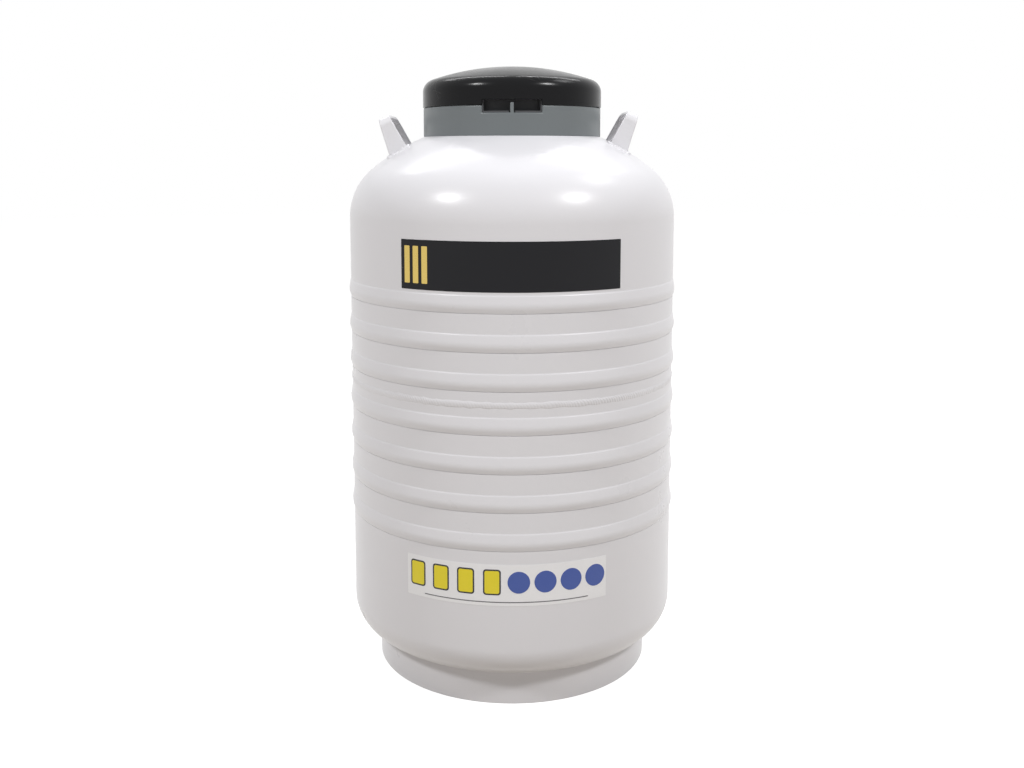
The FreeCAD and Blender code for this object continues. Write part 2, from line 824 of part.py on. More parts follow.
def pocket_outline(half, back, radius):
    """The plan of a block at the lid's front, rounded to a radius about the lid's axis."""
    front = f"-sqrt(({radius})^2 - ({half})^2)"
    return [
        (f"-{half}", f"-({back})"),
        (f"-{half}", front, radius, 1),
        (half, front),
        (half, f"-({back})"),
    ]


def make_lid_liner():
    """The disc that closes the lid's underside, cut away at the lock's pocket."""
    radius = "lid_radius - lid_wall - liner_gap"
    body = turned_body("lid_liner", [
        ("0", "liner_base"),
        (radius, "liner_base"),
        (radius, "liner_base + liner_thickness"),
        ("0", "liner_base + liner_thickness"),
    ])
    opening = new_sketch(body, "liner_opening", "XY_Plane", "liner_base + liner_thickness")
    half = "(pocket_half + liner_gap)"
    back = "-(pocket_back - pocket_wall - liner_gap)"
    draw(opening, [
        (f"-{half}", back),
        (f"-{half}", "-lid_radius * 1.1"),
        (half, "-lid_radius * 1.1"),
        (half, back),
    ])
    pocket(body, opening, "liner_thickness * 1.5")


def make_neck_plug():
    """The foam plug under the liner that fills the neck, with a bevelled lower edge."""
    low = "liner_base - plug_length"
    turned_body("neck_plug", [
        ("0", low),
        ("plug_radius - plug_chamfer", low),
        ("plug_radius", f"{low} + plug_chamfer"),
        ("plug_radius", "liner_base"),
        ("0", "liner_base"),
    ])


def make_liner_screws():
    """The pan heads under the liner, midway between the canister grips."""
    body = new_body("liner_screws")
    head = new_sketch(body, "screw_head", "XY_Plane", "liner_base")
    draw_circle(head, "screw_circle_radius * cos(45)", "screw_circle_radius * sin(45)",
                "screw_head_radius")
    first = pad(body, head, "screw_head_depth", reverse=True)
    repeat_round(body, first, "screw_count")


make_upper_shell()
make_lower_shell()
make_girth_weld()
make_foot_ring()
make_vacuum_port()
make_neck_collar()
make_lock_lug()
make_neck()
make_index_ring()
make_inner_vessel()
make_insulation()
make_locator()
for canister in range(1, int(SIZES["canister_count"]) + 1):
    make_canister(canister)
    make_grip(canister)
make_handle("right")
make_handle("left")
make_lid_cover()
make_lid_liner()
make_neck_plug()
make_liner_screws()
doc.recompute()

failed = [item.Name for item in doc.Objects if {"Invalid", "Error"} & set(item.State)]
if failed:
    raise ValueError(f"not built: {failed}")

pieces = [item for item in doc.Objects if item.TypeId == "PartDesign::Body"]
pieces += [item for item in doc.Objects if item.Label.startswith("handle_")]
failed = [piece.Label for piece in pieces
          if piece.Shape.isNull() or not piece.Shape.isValid()]
if failed:
    raise ValueError(f"no valid shape: {failed}")
for piece in pieces:
    piece.Shape.exportStep(os.path.join("parts", f"{piece.Label}.step"))
    print(piece.Label, len(piece.Shape.Solids), round(piece.Shape.Volume))
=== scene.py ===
"""Dresses a packed liquid nitrogen vessel with enamelled shells, lock, handles, lid and labels."""

import math

import bmesh
import bpy
from bpy.props import FloatProperty, FloatVectorProperty, IntProperty, PointerProperty
from bpy.types import Operator, Panel, PropertyGroup
from mathutils import Matrix, Vector, noise


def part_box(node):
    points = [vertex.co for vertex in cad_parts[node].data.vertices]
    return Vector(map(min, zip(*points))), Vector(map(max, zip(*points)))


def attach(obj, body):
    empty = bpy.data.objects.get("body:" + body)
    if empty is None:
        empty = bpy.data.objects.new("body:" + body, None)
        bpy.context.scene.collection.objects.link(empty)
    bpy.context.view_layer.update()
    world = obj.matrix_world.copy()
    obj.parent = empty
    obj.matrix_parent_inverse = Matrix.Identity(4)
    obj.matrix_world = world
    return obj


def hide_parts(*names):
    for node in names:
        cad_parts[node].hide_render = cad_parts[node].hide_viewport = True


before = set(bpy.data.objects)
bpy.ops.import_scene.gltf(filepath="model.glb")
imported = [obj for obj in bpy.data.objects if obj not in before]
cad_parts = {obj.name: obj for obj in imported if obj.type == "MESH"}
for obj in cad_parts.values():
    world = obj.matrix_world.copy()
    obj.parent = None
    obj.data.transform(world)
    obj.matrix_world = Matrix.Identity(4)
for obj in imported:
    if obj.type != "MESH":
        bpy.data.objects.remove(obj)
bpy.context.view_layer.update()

bl_info = {
    "name": "Liquid Nitrogen Vessel",
    "version": (1, 0, 0),
    "blender": (4, 5, 0),
    "location": "3D View > Sidebar > Vessel",
    "description": "Builds the pieces of a liquid nitrogen storage vessel with their finishes",
    "category": "Add Mesh",
}

MM = 0.001
WHITE = (1.0, 1.0, 1.0, 1.0)

# The squares round a turned piece, the gap below which points merge, and the distance from
# an edge of the extra row that keeps the shading beside it even.
TURN_STEPS = 288
MERGE_GAP = 0.001 * MM
EDGE_ROW = 2 * MM


# Settings that a user may change. Lengths are in metres, and many start from the frame.

def length(name, description, default):
    return FloatProperty(name=name, description=description, default=default, min=0.0,
                         precision=5, subtype="DISTANCE", unit="LENGTH")


def mm(name, description, default):
    """A length whose default is given in millimetres."""
    return length(name, description, default * MM)


def turn(name, description, default):
    return FloatProperty(name=name, description=description, default=math.radians(default),
                         subtype="ANGLE", unit="ROTATION")


def colour(name, description, default):
    return FloatVectorProperty(name=name, description=description, default=default, size=3,
                               min=0.0, max=1.0, subtype="COLOR")


def count(name, description, default):
    return IntProperty(name=name, description=description, default=default, min=1)


def number(name, description, default):
    return FloatProperty(name=name, description=description, default=default, min=0.0)


RIB_RISE = 2.6 * MM
SHELL_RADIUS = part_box("upper_shell")[1].x - RIB_RISE


class ShellSizes(PropertyGroup):
    """Sizes of the outer shells, their ribs, the weld between them and the foot ring."""

    radius: length("Radius", "Radius of the shells between the ribs", SHELL_RADIUS)
    wall: mm("Wall", "Thickness of the shells", 3)
    seam: length("Seam height", "Height of the seam between the two shells",
                 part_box("upper_shell")[0].z)
    shoulder: mm("Shoulder height", "Height where the straight side ends", 638.5)
    knuckle: mm("Knuckle radius", "Radius of the shoulder's bend", 87)
    crown: mm("Crown radius", "Radius of the ball that the crown is part of", 316)
    neck_hole: length("Neck hole", "Radius of the hole for the neck flange",
                      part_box("neck_flange")[1].x)
    rib_width: mm("Rib width", "Height of one rolled rib", 23.4)
    rib_under: turn("Rib underside", "Slope of a rib's underside", 18)
    rib_face: turn("Rib face", "Slope of a rib's broad upper face", 9.5)
    rib_lip: mm("Rib lip", "Rise of the steep lip at a rib's upper edge", 0.6)
    lip_slope: turn("Lip slope", "Slope of that lip", 26)
    crease: mm("Crease", "Height and depth of the fine crease under each rib", 0.6)
    top_rib: mm("Top rib", "Height of the highest rib's middle", 540)
    upper_pitch: mm("Upper pitch", "Distance between the ribs above the seam", 49.5)
    upper_ribs: count("Upper ribs", "Number of ribs above the seam", 3)
    lower_rib: mm("Lower rib", "Height of the first rib's middle below the seam", 385)
    lower_pitch: mm("Lower pitch", "Distance between the ribs below the seam", 50.3)
    lower_ribs: count("Lower ribs", "Number of ribs below the seam", 4)
    base_knuckle: mm("Base knuckle", "Radius of the bend round the base", 47)
    base_height: mm("Base bend height", "Height where the base's bend starts", 90.7)
    base_slope: turn("Base slope", "Slope of the base inside its bend", 7)
    port: length("Port radius", "Radius of the hole for the vacuum port",
                 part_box("vacuum_port")[1].x)
    foot: length("Foot radius", "Outer radius of the foot ring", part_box("foot_ring")[1].x)
    foot_wall: mm("Foot wall", "Thickness of the foot ring", 3)
    weld_width: mm("Weld width", "Height of the weld over the seam", 10.5)
    weld_rise: mm("Weld rise", "How far the weld stands out", 0.85)
    weld_pitch: mm("Weld pitch", "Distance from one ripple of a weld to the next", 4.2)


class NeckSizes(PropertyGroup):
    """Sizes of the collar, its notch and the lug in it."""

    collar: length("Collar radius", "Outer radius of the collar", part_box("neck_collar")[1].x)
    collar_wall: mm("Collar wall", "Thickness of the collar", 3)
    collar_top: length("Collar top", "Height of the collar's upper edge",
                       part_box("neck_collar")[1].z)
    notch_width: mm("Notch width", "Width of the notch for the lock", 80.6)
    notch_depth: mm("Notch depth", "Depth of the notch from the collar's edge", 9.7)
    hole: mm("Shackle hole", "Radius of the padlock's hole", 3.5)
    hole_height: mm("Hole height", "Height of the padlock's hole", 787.6)
    hole_setback: mm("Hole setback", "Distance of the hole behind the lug's front", 8)
    ease: mm("Edge", "Rounding of the painted edges", 1.5)


class HandleSizes(PropertyGroup):
    """Sizes of the carrying handles."""

    span: length("Span", "Distance over the two legs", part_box("handle_right")[1].y * 2)
    thickness: mm("Thickness", "Thickness of the strap", 4.6)
    corner: mm("Corner", "Outer radius of the strap's bends", 13)
    left_foot: mm("Left foot", "Distance of the left feet from the vessel's axis", 157)
    right_foot: mm("Right foot", "Distance of the right feet from the vessel's axis", 147.2)
    rise: mm("Rise", "Height of the handle above its feet", 52.5)
    lean: turn("Lean", "Outward lean from upright", 23.2)
    foot_width: mm("Foot width", "Width of the strap at its feet", 27)
    top_width: mm("Top width", "Width of the strap at its top", 16)
    root: mm("Root", "Length of a leg below its foot, inside the weld", 7)
    ease: mm("Edge", "Rounding of the strap's long edges", 1.5)


class LidSizes(PropertyGroup):
    """Sizes of the lid and the lock's pocket in its front."""

    radius: length("Radius", "Outer radius of the lid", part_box("lid_cover")[1].x)
    wall: mm("Wall", "Thickness of the lid", 3.8)
    apex: length("Apex", "Height of the lid's top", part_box("lid_cover")[1].z)
    edge: mm("Edge radius", "Radius of the bend round the dome", 18)
    crown: mm("Crown radius", "Radius of the ball that the dome is part of", 351)
    pocket_top: mm("Pocket height", "Height of the pocket's ceiling", 798.2)
    pocket_depth: mm("Pocket depth", "Depth of the pocket from the lid's front", 25.5)
    pocket_wall: mm("Pocket wall", "Thickness of the pocket's walls", 2)
    pocket_bend: mm("Pocket bend", "Rounding of the pocket's rear corners", 16)
    pocket_inset: mm("Pocket inset", "How far the pocket's walls start behind the lid's front", 3)
    rim_gap: mm("Rim gap", "Height of the lid's rim above the collar", 0.6)
    ease: mm("Edge", "Rounding of the moulded edges", 0.9)


class LabelSizes(PropertyGroup):
    """Sizes of the plain labels on the front."""

    film: mm("Film", "Thickness of a label's film", 0.2)
    band_width: mm("Band width", "Length of the dark band round the front", 301)
    band_shift: mm("Band shift", "How far the band lies left of the middle", 1.8)
    band_low: mm("Band foot", "Height of the dark band's lower edge", 555.5)
    band_high: mm("Band top", "Height of the dark band's upper edge", 619)
    bar_width: mm("Bar width", "Width of one gold bar on the dark band", 8.5)
    bar_pitch: mm("Bar pitch", "Distance from one gold bar to the next", 13.5)
    bars: count("Bars", "Number of gold bars", 3)
    strip_width: mm("Strip width", "Length of the pale strip above the base", 276)
    strip_low: mm("Strip foot", "Height of the pale strip's lower edge", 150.8)
    strip_high: mm("Strip top", "Height of the pale strip's upper edge", 205.6)
    strip_shift: mm("Strip shift", "How far the strip lies left of the middle", 8.5)
    fields: count("Fields", "Number of yellow tiles, and of blue discs, on the strip", 4)
    tile: mm("Tile", "Width of one yellow tile", 23)
    tile_height: mm("Tile height", "Height of one yellow tile", 34)
    disc: mm("Disc", "Diameter of one blue disc", 29)


class FinishColours(PropertyGroup):
    """Colours of the finishes."""

    enamel: colour("White enamel", "Paint of the shells and handles", (0.705, 0.70, 0.73))
    grey: colour("Grey enamel", "Paint of the collar and lug", (0.145, 0.162, 0.170))
    lid: colour("Lid plastic", "Moulded plastic of the lid", (0.006, 0.006, 0.007))
    # The pocket is moulded from the lid's black plastic; this lighter colour is painted reflected
    # light inside the pocket.
    pocket: colour("Pocket plastic", "Matt plastic inside the lock's pocket",
                   (0.08, 0.082, 0.088))
    band: colour("Dark film", "Film of the front band", (0.009, 0.009, 0.011))
    paper: colour("Pale film", "Film of the strip above the base", (0.80, 0.80, 0.82))
    yellow: colour("Yellow ink", "Tiles at the left of the strip", (0.74, 0.62, 0.02))
    blue: colour("Blue ink", "Discs at the right of the strip", (0.045, 0.085, 0.32))
    gold: colour("Gold foil", "Bars at the left of the front band", (0.62, 0.46, 0.14))
    grip: colour("Grip plastic", "Grips of the canisters", (0.50, 0.02, 0.015))


class StageSettings(PropertyGroup):
    """Camera and lamps."""

    camera_distance: mm("Camera distance", "Distance of the camera from the axis", 1568)
    camera_height: mm("Camera height", "Height of the camera", 726)
    camera_pitch: turn("Camera pitch", "How far the camera looks down", 6.423)
    focal_pixels: number("Focal length", "Focal length over the width of one pixel", 1087.5)
    axis_row: number("Axis row", "Picture row that the camera's axis meets", 276.8)
    left_lamp: number("Left lamp", "Power of the softbox at the left, in watts", 58.0)
    right_lamp: number("Right lamp", "Power of the softbox at the right, in watts", 62.0)
    side_lamp: number("Side lamp", "Power of the softbox high at the right, in watts", 6.0)
    strip_lamps: number("Strip lamps", "Power of each strip behind the vessel, in watts", 13.0)
    ambient: number("Ambient", "Strength of the light that comes from all round", 0.33)


class VesselSettings(PropertyGroup):
    """All settings of the vessel."""

    shell: PointerProperty(type=ShellSizes, name="Shells", description="Sizes of the shells")
    neck: PointerProperty(type=NeckSizes, name="Neck", description="Sizes of the collar")
    handle: PointerProperty(type=HandleSizes, name="Handles", description="Handle sizes")
    lid: PointerProperty(type=LidSizes, name="Lid", description="Sizes of the lid")
    label: PointerProperty(type=LabelSizes, name="Labels", description="Sizes of the labels")
    colour: PointerProperty(type=FinishColours, name="Colours", description="Finish colours")
    stage: PointerProperty(type=StageSettings, name="Stage", description="Camera and lamps")


# Nodes.

class Nodes:
    """Adds and links the nodes of one tree. An input is a socket or a plain value."""

    def __init__(self, tree):
        self.tree = tree

    def feed(self, socket, given):
        if isinstance(given, bpy.types.NodeSocket):
            self.tree.links.new(given, socket)
        else:
            socket.default_value = given

    def add(self, kind, inputs=(), **settings):
        node = self.tree.nodes.new(kind)
        for key, setting in settings.items():
            setattr(node, key, setting)
        for key, given in dict(inputs).items():
            self.feed(node.inputs[key], given)
        return node

    def result(self, kind, inputs, output=0, **settings):
        """One output of a new node."""
        return self.add(kind, inputs, **settings).outputs[output]

    def calculate(self, operation, first, second=0.0):
        return self.result("ShaderNodeMath", {0: first, 1: second}, operation=operation)

    def plus(self, first, second):
        return self.calculate("ADD", first, second)

    def times(self, first, second):
        return self.calculate("MULTIPLY", first, second)

    def group(self, name, settings):
        tree = bpy.data.node_groups[name]
        return self.add("ShaderNodeGroup", settings, node_tree=tree).outputs

    def ranged(self, given, low, high, to_low=0.0, to_high=1.0):
        return self.result("ShaderNodeMapRange", {
            "Value": given, "From Min": low, "From Max": high,
            "To Min": to_low, "To Max": to_high})

    def mixed(self, mask, first, second):
        return self.result("ShaderNodeMix", {0: mask, 6: first, 7: second}, 2,
                           data_type="RGBA")

    def grain(self, vector, per_metre, detail=3.0, roughness=0.5):
        return self.result("ShaderNodeTexNoise", {
            "Vector": vector, "Scale": per_metre, "Detail": detail, "Roughness": roughness})

    def cells(self, vector, per_metre, feature="F1"):
        return self.result("ShaderNodeTexVoronoi", {"Vector": vector, "Scale": per_metre},
                           feature=feature)

    def place(self):
        return self.add("ShaderNodeTexCoord").outputs["Object"]

    def split(self, vector):
        return self.add("ShaderNodeSeparateXYZ", {0: vector}).outputs


def start_group(name, inputs, outputs=("Height", "Mask")):
    """An empty shader group with number sockets: its nodes, its inputs and the place."""
    tree = bpy.data.node_groups.new(name, "ShaderNodeTree")
    for label, default in inputs.items():
        socket = tree.interface.new_socket(name=label, in_out="INPUT",
                                           socket_type="NodeSocketFloat")
        socket.default_value = default
    for label in outputs:
        tree.interface.new_socket(name=label, in_out="OUTPUT", socket_type="NodeSocketFloat")
    nodes = Nodes(tree)
    return nodes, nodes.add("NodeGroupInput").outputs, nodes.place()


def end_group(nodes, **outputs):
    nodes.add("NodeGroupOutput", outputs)


def make_handling_group():
    """Soft patches of dust and touch, and the finer smudges inside them."""
    nodes, given, place = start_group("Handling Marks", {"Patches": 9.0, "Smudges": 60.0},
                                      ("Mask",))
    patches = nodes.grain(place, given["Patches"], 4.0, 0.55)
    smudges = nodes.grain(place, given["Smudges"], 5.0, 0.6)
    total = nodes.plus(nodes.times(smudges, 0.4), nodes.times(patches, 0.6))
    end_group(nodes, Mask=nodes.ranged(total, 0.35, 0.65))


def make_skin_group():
    """The fine waves of sprayed paint or moulded plastic."""
    nodes, given, place = start_group("Orange Peel",
                                      {"Grain": 500.0, "Waves": 14.0, "Mix": 0.5})
    fine = nodes.grain(place, given["Grain"], 2.0, 0.45)
    broad = nodes.grain(place, given["Waves"], 1.0, 0.4)
    end_group(nodes, Height=nodes.plus(fine, nodes.times(broad, given["Mix"])), Mask=fine)


def make_turned_group():
    """Fine rings round the axis, as a lathe or a spinning tool leaves them."""
    nodes, given, place = start_group("Turned Rings", {"Rings": 700.0})
    x, y, z = nodes.split(place)[:3]
    across = nodes.calculate("SQRT", nodes.plus(nodes.times(x, x), nodes.times(y, y)))
    section = nodes.result("ShaderNodeCombineXYZ", {0: across, 1: z})
    lines = nodes.grain(section, given["Rings"], 4.0, 0.7)
    end_group(nodes, Height=lines, Mask=nodes.ranged(lines, 0.3, 0.7))


def make_scratch_group():
    """Sparse hair scratches that run in two slanting directions."""
    nodes, given, place = start_group(
        "Hair Scratches", {"Spacing": 60.0, "Reach": 9.0, "Share": 0.03}, ("Mask",))
    masks = []
    for slant in (35, -50):
        slanted = nodes.result("ShaderNodeVectorRotate", {
            "Vector": place, "Angle": math.radians(slant)}, rotation_type="Y_AXIS")
        stretch = nodes.result("ShaderNodeCombineXYZ", {
            0: given["Spacing"], 1: given["Spacing"], 2: given["Reach"]})
        scaled = nodes.result("ShaderNodeVectorMath", {0: slanted, 1: stretch},
                              operation="MULTIPLY")
        drawn = nodes.cells(scaled, 1.0, "DISTANCE_TO_EDGE")
        masks.append(nodes.ranged(drawn, 0.0, given["Share"], 1.0, 0.0))
    kept = nodes.ranged(nodes.grain(place, 16.0), 0.55, 0.65)
    end_group(nodes, Mask=nodes.times(nodes.calculate("MAXIMUM", *masks), kept))


def make_bead_group():
    """Pressed foam beads with narrow joints between them."""
    nodes, given, place = start_group("Foam Beads", {"Beads": 380.0})
    joints = nodes.cells(place, given["Beads"], "DISTANCE_TO_EDGE")
    height = nodes.ranged(joints, 0.0, 0.25)
    end_group(nodes, Height=height, Mask=height)


def make_weave_group():
    """Threads that cross at right angles round the axis."""
    nodes, given, place = start_group("Woven Threads", {"Threads": 900.0, "Slant": 0.8})
    neck_radius = 64 * MM
    x, y, z = nodes.split(place)[:3]
    around = nodes.times(nodes.calculate("ARCTAN2", y, x), neck_radius)
    waves = []
    for sign in (1.0, -1.0):
        slanted = nodes.plus(z, nodes.times(around, nodes.times(given["Slant"], sign)))
        waves.append(nodes.calculate("SINE", nodes.times(slanted, given["Threads"])))
    crossing = nodes.calculate("MAXIMUM", *waves)
    height = nodes.plus(crossing, nodes.times(nodes.grain(place, 900.0), 0.6))
    end_group(nodes, Height=height, Mask=nodes.ranged(height, -0.2, 1.4))


def make_foil_group():
    """Creases of thin foil that was wrapped by hand."""
    nodes, given, place = start_group("Creased Foil", {"Creases": 45.0})
    folds = nodes.cells(place, given["Creases"])
    height = nodes.plus(folds, nodes.times(nodes.grain(place, 160.0, 4.0, 0.6), 0.5))
    end_group(nodes, Height=height, Mask=nodes.ranged(height, 0.3, 1.1))


GROUP_MAKERS = (make_handling_group, make_skin_group, make_turned_group, make_scratch_group,
                make_bead_group, make_weave_group, make_foil_group)


# Materials.

def shade(rgb, factor):
    return (*(min(1.0, part * factor) for part in rgb), 1.0)


def skin(grain, waves, mix):
    return "Orange Peel", {"Grain": grain, "Waves": waves, "Mix": mix}


def rings(per_metre):
    return "Turned Rings", {"Rings": per_metre}


def threads(per_metre, slant):
    return "Woven Threads", {"Threads": per_metre, "Slant": slant}


def gloss(level):
    return {"Specular IOR Level": level}


METAL = {"Metallic": 1.0}
PLASTIC = {"IOR": 1.5}
SOFT = {"IOR": 1.45}
SCRATCHES = {"Spacing": 40.0, "Reach": 6.0, "Share": 0.004}
SCRATCH_COLOUR = (0.13, 0.13, 0.13, 1.0)

# A finish: its colour, or the setting that holds it; its least and greatest roughness; its
# relief; the relief's height in millimetres; the grain of its dust and its smudges per metre;
# values for the shader's own sockets; how far its colour wanders; and its scratches, if any.
FINISHES = {
    "White enamel": ("enamel", (0.27, 0.30), skin(420, 13, 14), 0.026, (5, 24), gloss(0.4),
                     0.006),
    "Grey enamel": ("grey", (0.30, 0.42), skin(700, 20, 3), 0.03, (14, 90), PLASTIC, 0.04),
    "Black lid plastic": ("lid", (0.16, 0.24), skin(700, 30, 1), 0.07, (20, 120), gloss(0.16),
                          0.15, SCRATCHES),
    # Lighter than the lid plastic that the pocket is moulded from: painted reflected light inside
    # the pocket.
    "Matt pocket plastic": ("pocket", (0.46, 0.58), skin(1100, 60, 0.6), 0.04, (40, 180),
                            gloss(0.3), 0.12),
    "Spun aluminium": ((0.72, 0.72, 0.73), (0.26, 0.42), rings(900), 0.03, (30, 160), METAL,
                       0.08),
    "Drawn canister metal": ((0.66, 0.67, 0.68), (0.24, 0.38), rings(1500), 0.02, (40, 200),
                             METAL, 0.10),
    "Red grip plastic": ("grip", (0.34, 0.46), skin(1400, 80, 0.5), 0.03, (60, 300), PLASTIC,
                         0.08),
    "Black rubber": ((0.025, 0.025, 0.026), (0.6, 0.8), skin(1600, 90, 0.5), 0.05, (40, 200),
                     PLASTIC, 0.15),
    "Wound glass laminate": ((0.46, 0.43, 0.20), (0.34, 0.50), threads(1400, 0.7), 0.06,
                             (30, 160), PLASTIC, 0.14),
    "Pale index plastic": ((0.70, 0.70, 0.67), (0.36, 0.50), skin(1200, 60, 0.5), 0.03,
                           (50, 250), PLASTIC, 0.04),
    "Foil wrap": ((0.75, 0.75, 0.76), (0.18, 0.34), ("Creased Foil", {"Creases": 45.0}), 1.2,
                  (20, 100), METAL, 0.05),
    "Sieve cloth": ((0.62, 0.59, 0.50), (0.8, 0.95), threads(2600, 1.0), 0.2, (30, 140), SOFT,
                    0.18),
    "Pale liner plastic": ((0.72, 0.72, 0.69), (0.36, 0.50), skin(1000, 40, 0.6), 0.04,
                           (30, 150), PLASTIC, 0.05),
    "Plug foam": ((0.80, 0.79, 0.72), (0.7, 0.85), ("Foam Beads", {"Beads": 330.0}), 0.35,
                  (25, 120), SOFT, 0.10),
    "Plain screw steel": ((0.58, 0.58, 0.59), (0.26, 0.38), skin(2500, 150, 0.4), 0.01,
                          (90, 400), METAL, 0.06),
    "Gold foil": ("gold", (0.24, 0.36), skin(900, 60, 1), 0.02, (60, 260), METAL, 0.10),
}

# A printed film: its colour, its greatest roughness and its gloss.
FILMS = {
    "Dark film": ("band", 0.44, 0.2),
    "Pale film": ("paper", 0.46, 0.5),
    "Yellow ink": ("yellow", 0.46, 0.5),
    "Blue ink": ("blue", 0.46, 0.5),
    "Black ink": ("band", 0.46, 0.5),
    "Grey ink": ((0.12, 0.12, 0.13), 0.46, 0.5),
}
FINISHES.update({
    name: (rgb, (0.34, roughest), skin(420, 13, 6), 0.04, (16, 90), gloss(shine), 0.03)
    for name, (rgb, roughest, shine) in FILMS.items()})


def finish(name):
    """The material of one finish, whose colour and roughness wander over a fine relief."""
    found = bpy.data.materials.get(name)
    if found:
        return found
    rgb, roughness, relief, depth, marks, plain, spread, *scratches = FINISHES[name]
    if isinstance(rgb, str):
        rgb = getattr(bpy.context.scene.vessel.colour, rgb)
    material = bpy.data.materials.new(name)
    material.use_nodes = True
    nodes = Nodes(material.node_tree)
    shader = material.node_tree.nodes["Principled BSDF"].inputs
    texture = nodes.group(*relief)
    handling = nodes.group("Handling Marks", dict(zip(("Patches", "Smudges"), marks)))["Mask"]
    base = nodes.mixed(texture["Mask"], shade(rgb, 1 - spread), shade(rgb, 1 + spread))
    base = nodes.mixed(nodes.times(handling, 0.35), base, shade(rgb, 1 - spread))
    rough = nodes.ranged(handling, 0.0, 1.0, *roughness)
    for settings in scratches:
        lines = nodes.group("Hair Scratches", settings)["Mask"]
        base = nodes.mixed(lines, base, SCRATCH_COLOUR)
        rough = nodes.ranged(lines, 0.0, 1.0, rough, 0.6)
    bump = nodes.result("ShaderNodeBump", {
        "Height": texture["Height"], "Strength": 1.0, "Distance": depth * MM})
    nodes.feed(shader["Base Color"], base)
    nodes.feed(shader["Roughness"], rough)
    nodes.feed(shader["Normal"], bump)
    for key, setting in plain.items():
        shader[key].default_value = setting
    return material


# Outlines. A point is a radius and a height.

def arc(centre, radius, start, end, steps):
    """Points on an arc, with angles in radians above the horizontal."""
    angles = [start + (end - start) * step / steps for step in range(steps + 1)]
    return [(centre[0] + radius * math.cos(angle), centre[1] + radius * math.sin(angle))
            for angle in angles]


def rounded(corners, steps=4):
    """A closed outline of (x, y, rounding) corners with its corners rounded."""
    outline = []
    for index, (x, y, cut) in enumerate(corners):
        corner = Vector((x, y))
        if not cut:
            outline.append((x, y))
            continue
        before = Vector(corners[index - 1][:2])
        after = Vector(corners[(index + 1) % len(corners)][:2])
        start = corner + (before - corner).normalized() * cut
        end = corner + (after - corner).normalized() * cut
        for step in range(steps + 1):
            t = step / steps
            outline.append(tuple(start * (1 - t) ** 2 + corner * 2 * t * (1 - t) + end * t * t))
    return outline


def rib(middle, size):
    """One rolled rib from its foot up: fine crease, underside, broad face and steep lip."""
    low = middle - size.rib_width / 2
    face = math.tan(size.rib_face)
    under = math.tan(size.rib_under)
    lip = size.rib_width - size.rib_lip / math.tan(size.lip_slope)
    crest = (size.rib_lip + lip * face) / (under + face)
    edge = 1.2 * MM
    # Each corner: its place up the wall, its rise from it and its rounding.
    section = rounded([
        (-edge, 0.0, 0.0),
        (0.0, 0.0, 0.0),
        (0.0, -size.crease, 0.0),
        (size.crease, -size.crease, 0.0),
        (size.crease, size.crease * under, 0.0),
        (crest, crest * under, 4.5 * MM),
        (lip, size.rib_lip, 0.7 * MM),
        (size.rib_width, 0.0, 0.0),
        (size.rib_width + edge, 0.0, 0.0),
    ], 6)
    return [(size.radius + rise, low + along) for along, rise in section]


def crown_centre(size):
    """Height of the centre of the ball that the crown is part of."""
    return size.shoulder - math.sqrt((size.crown - size.knuckle) ** 2
                                     - (size.radius - size.knuckle) ** 2)


def upper_outline(size):
    """The upper shell, from the seam up its outside and back down its inside."""
    bend = size.radius - size.knuckle
    crown_height = crown_centre(size)
    meeting = math.acos(bend / (size.crown - size.knuckle))
    hole = math.acos(size.neck_hole / size.crown)
    outside = [(size.radius, size.seam)]
    for index in reversed(range(size.upper_ribs)):
        outside += rib(size.top_rib - index * size.upper_pitch, size)
    outside += arc((bend, size.shoulder), size.knuckle, 0.0, meeting, 26)
    outside += arc((0.0, crown_height), size.crown, meeting, hole, 26)[1:]
    inside = [(size.radius - size.wall, size.seam)]
    inside += arc((bend, size.shoulder), size.knuckle - size.wall, 0.0, meeting, 8)
    inside += arc((0.0, crown_height), size.crown - size.wall, meeting, hole, 8)[1:]
    return outside + inside[::-1]


def base_at(size, radius, inset=0.0):
    """Height of the base's bend at a radius, or of the surface inset from it."""
    bend = size.base_knuckle - inset
    return size.base_height - math.sqrt(bend ** 2 - (radius - size.radius + size.base_knuckle) ** 2)


def lower_outline(size):
    """The lower shell, from the seam down its outside and back up its inside."""
    centre = (size.radius - size.base_knuckle, size.base_height)
    end = size.base_slope - math.pi / 2
    outside = [(size.radius, size.seam)]
    for index in range(size.lower_ribs):
        outside += rib(size.lower_rib - index * size.lower_pitch, size)[::-1]
    sides = []
    for inset, steps in ((0.0, 22), (size.wall, 8)):
        bend = arc(centre, size.base_knuckle - inset, 0.0, end, steps)
        run, height = bend[-1]
        port = height - (run - size.port) * math.tan(size.base_slope)
        sides.append(bend + [(size.port, port)])
    outside += sides[0]
    return outside + sides[1][::-1] + [(size.radius - size.wall, size.seam)]


# Meshes.

def to_object(name, mesh, material, sharp=35.0):
    """Turn a bmesh into a smooth object with sharp edges past an angle."""
    bmesh.ops.recalc_face_normals(mesh, faces=mesh.faces)
    data = bpy.data.meshes.new(name)
    mesh.to_mesh(data)
    mesh.free()
    piece = bpy.data.objects.new(name, data)
    bpy.context.collection.objects.link(piece)
    data.polygons.foreach_set("use_smooth", [True] * len(data.polygons))
    data.set_sharp_from_angle(angle=math.radians(sharp))
    data.materials.append(material)
    return piece


